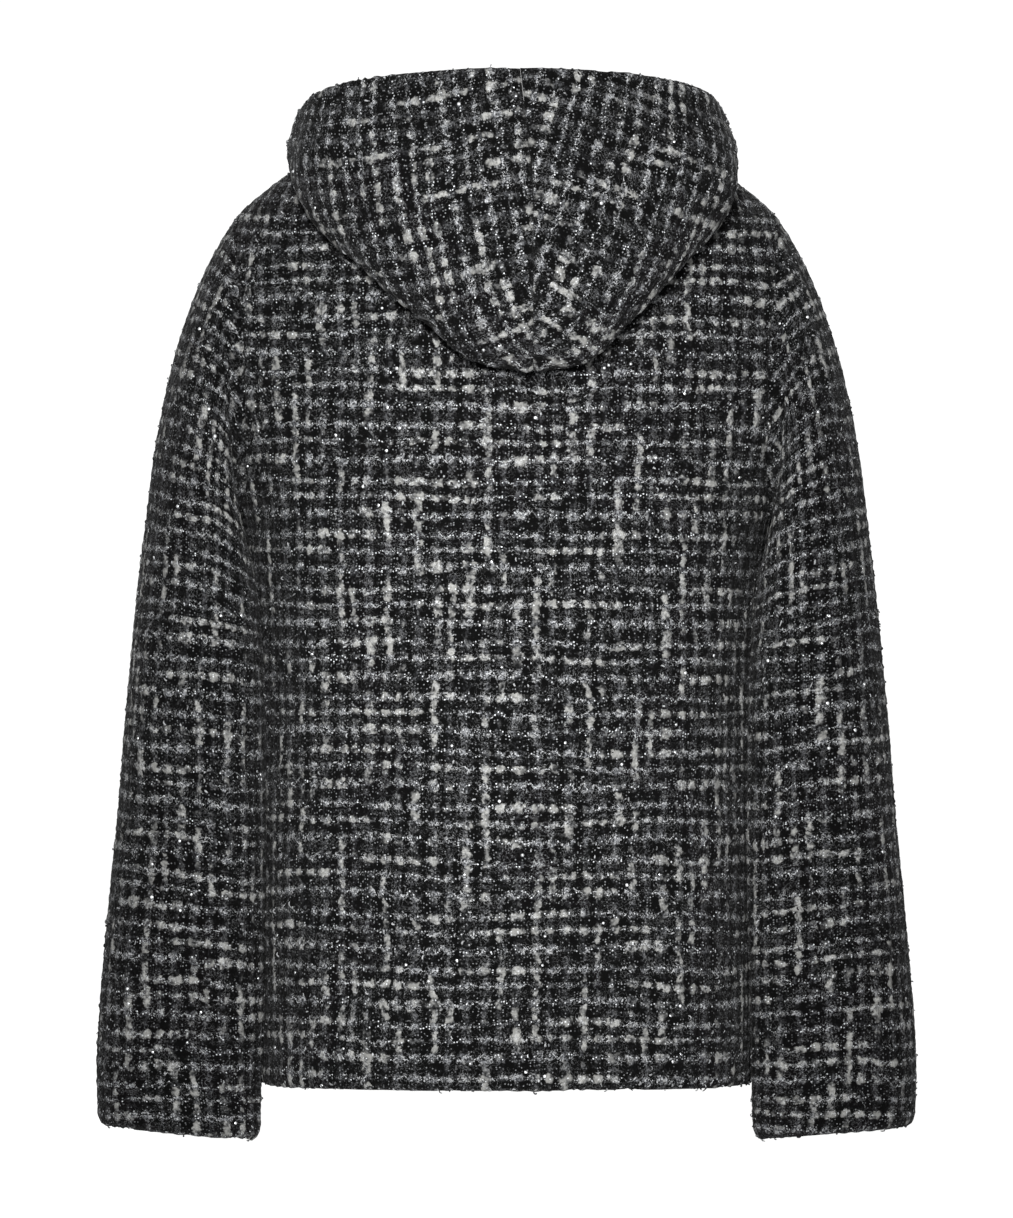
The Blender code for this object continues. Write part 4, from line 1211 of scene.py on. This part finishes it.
def curls_on(name, surface, area, sizes, random, material):
    """Loose curls of yarn: most are small loops that lie on the cloth, some stand off it."""
    count = int(area * sizes.curls_per_area)
    shape, faces = template(strand, rings=CURL_RINGS)
    row, place, step_up, step_over = scatter(surface.outer_face, surface.growth, count, random)
    along = np.linspace(0.0, 1.0, CURL_RINGS)
    length = random.uniform(*CURL_LENGTH, size=(count, 1))
    bend = random.uniform(*CURL_BEND, size=(count, 1)) * random.choice((-1.0, 1.0), (count, 1))
    heading = random.uniform(0.0, TURN, (count, 1)) + bend * (along - 0.5)
    step = length / (CURL_RINGS - 1)
    east = np.cumsum(np.cos(heading) * step, axis=1)
    north = np.cumsum(np.sin(heading) * step, axis=1)
    stands = random.uniform(size=(count, 1)) < CURLS_STANDING
    rise = np.where(stands, random.uniform(*CURL_STANDS, (count, 1)), random.uniform(*CURL_LIES, (count, 1)))
    free = random.uniform(size=(count, 1)) < CURLS_FREE
    lift = rise * np.where(free, along, np.sin(math.pi * along)) - CURL_ROOT
    rows = row[:, None] + north / step_up[:, None]
    places = place[:, None] + east / step_over[:, None]
    if surface.closed:
        places = np.mod(places, surface.outer_face.shape[1] - 1)
    out = unit(on_grid(surface.normals, rows, places))
    path = on_grid(surface.outer_face, rows, places) + out * lift[..., None]
    ahead = unit(np.gradient(path, axis=1))
    beside = unit(np.cross(ahead, out))
    below = np.cross(ahead, beside)
    taper = 1.0 - CURL_TAPER * np.abs(2 * along - 1) ** 3
    thick = 0.5 * sizes.curl_thickness * random.uniform(*CURL_THICKNESSES, (count, 1)) * taper
    ring = np.round(shape[:, 2]).astype(int)
    points = path[:, ring] + thick[:, ring, None] * (
        shape[:, 0, None] * beside[:, ring] + shape[:, 1, None] * below[:, ring])
    shade = np.broadcast_to(random.uniform(size=(count, 1)), (count, len(ring)))
    marks = np.stack([shade, np.broadcast_to(along[ring], shade.shape)], axis=-1)
    return show_mesh(name, joined_mesh(name, points, faces, marks, "curl"), material)


def sequins_on(name, surface, area, sizes, random, material):
    """Small flat sequins spun into the yarns, each lying a little askew."""
    count = int(area * sizes.sequins_per_area)
    shape, faces = template(disc, thickness=SEQUIN_THICKNESS)
    row, place, _, _ = scatter(surface.outer_face, np.ones_like(surface.growth), count, random)
    out = unit(on_grid(surface.normals, row, place) + random.normal(0.0, SEQUIN_TILT, (count, 3)))
    beside = unit(np.cross(out, random.normal(size=(count, 3))))
    below = np.cross(out, beside)
    centre = on_grid(surface.outer_face, row, place) + out * SEQUIN_LIFT
    width = sizes.sequin_diameter * random.uniform(*SEQUIN_WIDTHS, (count, 1, 1))
    points = centre[:, None] + width * (
        shape[:, 0, None] * beside[:, None] + shape[:, 1, None] * below[:, None]
        + shape[:, 2, None] * out[:, None])
    marks = np.broadcast_to(random.uniform(size=(count, 1, 2)), (count, len(shape), 2))
    return show_mesh(name, joined_mesh(name, points, faces, marks, "sequin"), material)


# A Mix node's colour sockets go by number, because other sockets of it share their names.
MIX_SHARE, MIX_FROM, MIX_TO, MIX_RESULT = 0, 6, 7, 2


def add_node(tree, kind, inputs=(), output=0, **settings):
    """One node with its settings, its inputs set or linked, and the output asked for."""
    node = tree.nodes.new("ShaderNode" + kind)
    for name, value in settings.items():
        setattr(node, name, value)
    for place, value in inputs.items() if isinstance(inputs, dict) else enumerate(inputs):
        if isinstance(value, bpy.types.NodeSocket):
            tree.links.new(value, node.inputs[place])
        else:
            node.inputs[place].default_value = value
    return node.outputs[output] if node.outputs else None


def new_material(name):
    """An empty material and its tree."""
    material = bpy.data.materials.new(name)
    material.use_nodes = True
    material.node_tree.nodes.clear()
    return material, material.node_tree


def boucle_tweed(name, colours):
    """Boucle tweed of wool with a silver filament: matt and furry, with painted shade in the
    hollows between thick yarns, mottled grey fancy picks with pale slubs, a thin beaded
    thread along them, and fine curling fibres."""
    material, tree = new_material(name)
    cut = add_node(tree, "UVMap", uv_map="weave")
    # Hand-spun yarn is never straight: its edges wander by a millimetre or so.
    wander = add_node(
        tree, "TexNoise", {"Vector": cut, "Scale": 1.0 / YARN_WANDER_SIZE, "Detail": 3.0, "Roughness": 0.6},
        "Color", noise_dimensions="2D")
    centred = add_node(tree, "VectorMath", (wander, (-0.5, -0.5, -0.5)), operation="ADD")
    moved = add_node(tree, "VectorMath", (centred, YARN_WANDERS, cut), operation="MULTIPLY_ADD")
    values = {
        "u": add_node(tree, "SeparateXYZ", (moved,), "X"),
        "v": add_node(tree, "SeparateXYZ", (moved,), "Y"),
    }
    for texture, size, detail, roughness in TEXTURES:
        values[texture] = add_node(
            tree, "TexNoise", {"Vector": cut, "Scale": 1.0 / size, "Detail": detail, "Roughness": roughness},
            "Fac", noise_dimensions="2D")
    beads = add_node(
        tree, "TexVoronoi", {"Vector": cut, "Scale": 1.0 / BEAD_SPACING}, "Distance", voronoi_dimensions="2D")
    values["bead_far"] = beads
    values["bead_chance"] = add_node(tree, "SeparateXYZ", (beads.node.outputs["Color"],), "X")
    for step, operation, *operands in WEAVE + SURFACE:
        known = [values.get(x, x) for x in operands]
        if operation == "RAMP":
            values[step] = add_node(tree, "MapRange", known, interpolation_type="SMOOTHSTEP")
        else:
            values[step] = add_node(tree, "Math", known, operation=operation)

    fancy = add_node(
        tree, "Mix",
        {MIX_SHARE: values["slub"], MIX_FROM: tuple(colours.dark), MIX_TO: tuple(colours.pale)},
        MIX_RESULT, data_type="RGBA")
    yarn = add_node(
        tree, "Mix", {MIX_SHARE: values["woolly"], MIX_FROM: tuple(colours.black), MIX_TO: fancy},
        MIX_RESULT, data_type="RGBA")
    # The yarns' colour, darkened by the painted shade in the hollows and mottled by the fibres.
    colour = add_node(tree, "VectorMath", {0: yarn, "Scale": values["lit"]}, operation="SCALE")
    for cover, shade in (("loop", colours.curl), ("thread", colours.curl), ("speck", colours.fleck)):
        colour = add_node(
            tree, "Mix", {MIX_SHARE: values[cover], MIX_FROM: colour, MIX_TO: tuple(shade)},
            MIX_RESULT, data_type="RGBA")
    bump = add_node(tree, "Bump", {"Strength": 0.7, "Distance": 0.7 * MM, "Height": values["relief"]})
    shader = add_node(
        tree, "BsdfPrincipled",
        {"Base Color": colour, "Normal": bump, "Roughness": 0.95, "Specular IOR Level": 0.05,
         "Sheen Weight": 0.01, "Sheen Roughness": 0.5})
    add_node(tree, "OutputMaterial", {"Surface": shader})
    return material


def wool_curls(name, colours):
    """Curls of black, grey and white wool: matt, with a soft edge to their light."""
    material, tree = new_material(name)
    marks = add_node(tree, "UVMap", uv_map="curl")
    shade = add_node(tree, "SeparateXYZ", (marks,), "X")
    place = add_node(tree, "TexCoord", output="Object")
    fuzz = add_node(tree, "TexNoise", {"Vector": place, "Scale": 1.0 / CURL_FLECK, "Detail": 1.0}, "Fac")
    # Nearly half of the curls are black, and the others run up to pale.
    pale = add_node(tree, "Math", (shade, 1.9, -0.9), operation="MULTIPLY_ADD", use_clamp=True)
    fleck = add_node(tree, "Math", (fuzz, 1.0, 0.5), operation="MULTIPLY_ADD")
    mixed = add_node(tree, "Math", (pale, fleck), operation="MULTIPLY")
    wool = add_node(
        tree, "Mix", {MIX_SHARE: mixed, MIX_FROM: tuple(colours.black), MIX_TO: tuple(colours.curl)},
        MIX_RESULT, data_type="RGBA")
    shader = add_node(
        tree, "BsdfPrincipled",
        {"Base Color": wool, "Roughness": 0.95, "Specular IOR Level": 0.05,
         "Sheen Weight": 0.02, "Sheen Roughness": 0.6})
    add_node(tree, "OutputMaterial", {"Surface": shader})
    return material


def silvered_film(name, colours):
    """Silvered polyester film, punched into discs: bright where it catches the light,
    dull where it is rubbed."""
    material, tree = new_material(name)
    marks = add_node(tree, "UVMap", uv_map="sequin")
    chance = add_node(tree, "SeparateXYZ", (marks,), "X")
    dull = tuple(SEQUIN_DULLED * part for part in colours.sequin[:3]) + (1.0,)
    film = add_node(
        tree, "Mix", {MIX_SHARE: chance, MIX_FROM: dull, MIX_TO: tuple(colours.sequin)},
        MIX_RESULT, data_type="RGBA")
    rubbed = add_node(tree, "Math", (chance, -0.2, 0.45), operation="MULTIPLY_ADD")
    shader = add_node(tree, "BsdfPrincipled", {"Base Color": film, "Metallic": 0.85, "Roughness": rubbed})
    add_node(tree, "OutputMaterial", {"Surface": shader})
    return material


def pale_floor(name, colours):
    """Matt white paint on a smooth floor, with the faint unevenness of a roller."""
    material, tree = new_material(name)
    place = add_node(tree, "TexCoord", output="Object")
    uneven = add_node(tree, "TexNoise", {"Vector": place, "Scale": 1.5, "Detail": 2.0}, "Fac")
    paler = tuple(min(1.0, 1.02 * part) for part in colours.floor)
    paint = add_node(
        tree, "Mix", {MIX_SHARE: uneven, MIX_FROM: tuple(colours.floor), MIX_TO: paler},
        MIX_RESULT, data_type="RGBA")
    shader = add_node(
        tree, "BsdfPrincipled", {"Base Color": paint, "Roughness": 0.9, "Specular IOR Level": 0.1})
    add_node(tree, "OutputMaterial", {"Surface": shader})
    return material


def finish_named(name, make):
    """A finish that several pieces share, made the first time it is asked for."""
    return bpy.data.materials.get(name) or make(name, bpy.context.scene.tweed_colours)


def weave_panel(node, form, closed, edges, creases, grain):
    """One panel of the jacket in tweed, with its curls and sequins, in its node's place."""
    sizes = bpy.context.scene.tweed_sizes
    shell, surface, flat, area = cloth_shell(
        node + "_tweed", form, closed, edges, creases, grain, sizes,
        finish_named("boucle_tweed", boucle_tweed))
    random = np.random.default_rng(grain["seed"])
    curls = curls_on(
        node + "_curls", surface, area, sizes, random, finish_named("wool_curls", wool_curls))
    sequins = sequins_on(
        node + "_sequins", surface, area, sizes, random, finish_named("silvered_film", silvered_film))
    for piece in (shell, curls, sequins):
        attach(piece, "root")
    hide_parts(node)


class TWEED_OT_back(bpy.types.Operator):
    """Weave the back panel"""

    bl_idname = "tweed.back"
    bl_label = "Back panel"

    def execute(self, context):
        edges = {"bottom": "hem", "top": "seam", "left": "seam", "right": "seam"}
        grain = {"angle": 0.4, "seed": 11, "shift": (0.300, 0.000)}
        weave_panel("back", body_form(False, 1), False, edges, BACK_CREASES, grain)
        return {"FINISHED"}


class TWEED_OT_fronts(bpy.types.Operator):
    """Weave the two front panels"""

    bl_idname = "tweed.fronts"
    bl_label = "Front panels"

    def execute(self, context):
        edges = {"bottom": "hem", "top": "seam", "left": "hem", "right": "seam"}
        for node, sign, seed in (("front_left", 1, 12), ("front_right", -1, 13)):
            grain = {"angle": 0.6 * sign, "seed": seed, "shift": (0.5 + 0.1 * sign, 0.0)}
            weave_panel(node, body_form(True, sign), False, edges, FRONT_CREASES, grain)
        return {"FINISHED"}


class TWEED_OT_sleeves(bpy.types.Operator):
    """Weave the two sleeves"""

    bl_idname = "tweed.sleeves"
    bl_label = "Sleeves"

    def execute(self, context):
        edges = {"bottom": "seam", "top": "cuff", "left": "none", "right": "none"}
        points, normals, u, v = sleeve_form()
        for node, sign, seed in (("sleeve_left", 1, 14), ("sleeve_right", -1, 15)):
            mirror = np.array([sign, 1.0, 1.0])
            form = (points * mirror, normals * mirror, u * sign, v)
            grain = {"angle": 0.0, "seed": seed, "shift": (1.3 + 0.24 * sign, 0.013 * sign)}
            weave_panel(node, form, True, edges, SLEEVE_CREASES, grain)
        return {"FINISHED"}


class TWEED_OT_hood(bpy.types.Operator):
    """Weave the two halves of the hood"""

    bl_idname = "tweed.hood"
    bl_label = "Hood"

    def execute(self, context):
        edges = {"bottom": "seam", "top": "hem", "left": "hem", "right": "seam"}
        for node, sign, seed, angle in (("hood_left", 1, 16, 85.0), ("hood_right", -1, 17, 104.0)):
            grain = {"angle": angle, "seed": seed, "shift": (2.0 + 0.3 * sign, 0.5)}
            weave_panel(node, hood_form(sign), False, edges, HOOD_CREASES, grain)
        return {"FINISHED"}


# The studio: the frame's height at the jacket's back, the camera's distance, and tall
# strip lights whose grids keep their light on the jacket's middle.
FRAME_HEIGHT = 0.828
FRAME_MIDDLE = -0.3244
FRAME_AT = 0.05
CAMERA_AT = 7.0
SENSOR = 36.0
FLOOR_HEIGHT = -0.76
FLOOR_RADIUS = 60.0
WORLD_STRENGTH = 1.08
LIGHT_COLUMNS = ("name", "across", "along", "up", "width", "height", "spread", "power")
LIGHTS = (
    ("back_strip", 0.10, 2.6, 0.30, 0.3, 0.9, 20.0, 7.0),
    ("front_strip", -0.10, -2.6, 0.30, 0.3, 0.9, 20.0, 7.0),
)
LIGHTS_AIM = (0.0, 0.0, -0.31)


class TWEED_OT_stage(bpy.types.Operator):
    """Set the floor, the lights and the camera"""

    bl_idname = "tweed.stage"
    bl_label = "Studio"

    def execute(self, context):
        scene = context.scene
        mesh = bmesh.new()
        bmesh.ops.create_circle(mesh, cap_ends=True, segments=64, radius=FLOOR_RADIUS)
        bmesh.ops.translate(mesh, verts=mesh.verts, vec=(0.0, 0.0, FLOOR_HEIGHT))
        data = bpy.data.meshes.new("floor")
        mesh.to_mesh(data)
        mesh.free()
        data.materials.append(finish_named("matt_floor_paint", pale_floor))
        floor = bpy.data.objects.new("floor", data)
        scene.collection.objects.link(floor)

        for row in LIGHTS:
            size = dict(zip(LIGHT_COLUMNS, row))
            light = bpy.data.lights.new(size["name"], "AREA")
            light.shape = "RECTANGLE"
            light.size, light.size_y = size["width"], size["height"]
            light.spread = math.radians(size["spread"])
            light.energy = size["power"]
            lamp = bpy.data.objects.new(size["name"], light)
            lamp.location = (size["across"], size["along"], size["up"])
            lamp.rotation_euler = (Vector(LIGHTS_AIM) - lamp.location).to_track_quat("-Z", "Y").to_euler()
            lamp.visible_camera = False
            scene.collection.objects.link(lamp)

        world = bpy.data.worlds.new("studio_white")
        world.use_nodes = True
        background = world.node_tree.nodes["Background"]
        background.inputs["Color"].default_value = (1.0, 1.0, 1.0, 1.0)
        background.inputs["Strength"].default_value = WORLD_STRENGTH
        scene.world = world
        scene.view_settings.view_transform = "Standard"

        lens = bpy.data.cameras.new("camera")
        lens.sensor_fit = "AUTO"
        lens.sensor_width = SENSOR
        lens.lens = SENSOR * (CAMERA_AT - FRAME_AT) / FRAME_HEIGHT
        lens.clip_end = 2.0 * FLOOR_RADIUS
        camera = bpy.data.objects.new("camera", lens)
        camera.location = (0.0, CAMERA_AT, FRAME_MIDDLE)
        camera.rotation_euler = (math.radians(90.0), 0.0, math.radians(180.0))
        scene.collection.objects.link(camera)
        scene.camera = camera
        return {"FINISHED"}


STEPS = (TWEED_OT_stage, TWEED_OT_back, TWEED_OT_fronts, TWEED_OT_sleeves, TWEED_OT_hood)


class TWEED_PT_jacket(bpy.types.Panel):
    """Sizes, colours and the steps of the jacket"""

    bl_label = "Tweed Jacket"
    bl_idname = "TWEED_PT_jacket"
    bl_space_type = "VIEW_3D"
    bl_region_type = "UI"
    bl_category = "Tweed Jacket"

    def draw(self, context):
        for group in (context.scene.tweed_sizes, context.scene.tweed_colours):
            for name in group.__annotations__:
                self.layout.prop(group, name)
        for step in STEPS:
            self.layout.operator(step.bl_idname)


CLASSES = (TweedSizes, TweedColours, *STEPS, TWEED_PT_jacket)


def register():
    for kind in CLASSES:
        bpy.utils.register_class(kind)
    bpy.types.Scene.tweed_sizes = bpy.props.PointerProperty(type=TweedSizes)
    bpy.types.Scene.tweed_colours = bpy.props.PointerProperty(type=TweedColours)


def unregister():
    del bpy.types.Scene.tweed_colours
    del bpy.types.Scene.tweed_sizes
    for kind in reversed(CLASSES):
        bpy.utils.unregister_class(kind)


def main():
    register()
    bpy.ops.tweed.stage()
    bpy.ops.tweed.back()
    bpy.ops.tweed.fronts()
    bpy.ops.tweed.sleeves()
    bpy.ops.tweed.hood()


if __name__ == "__main__":
    main()
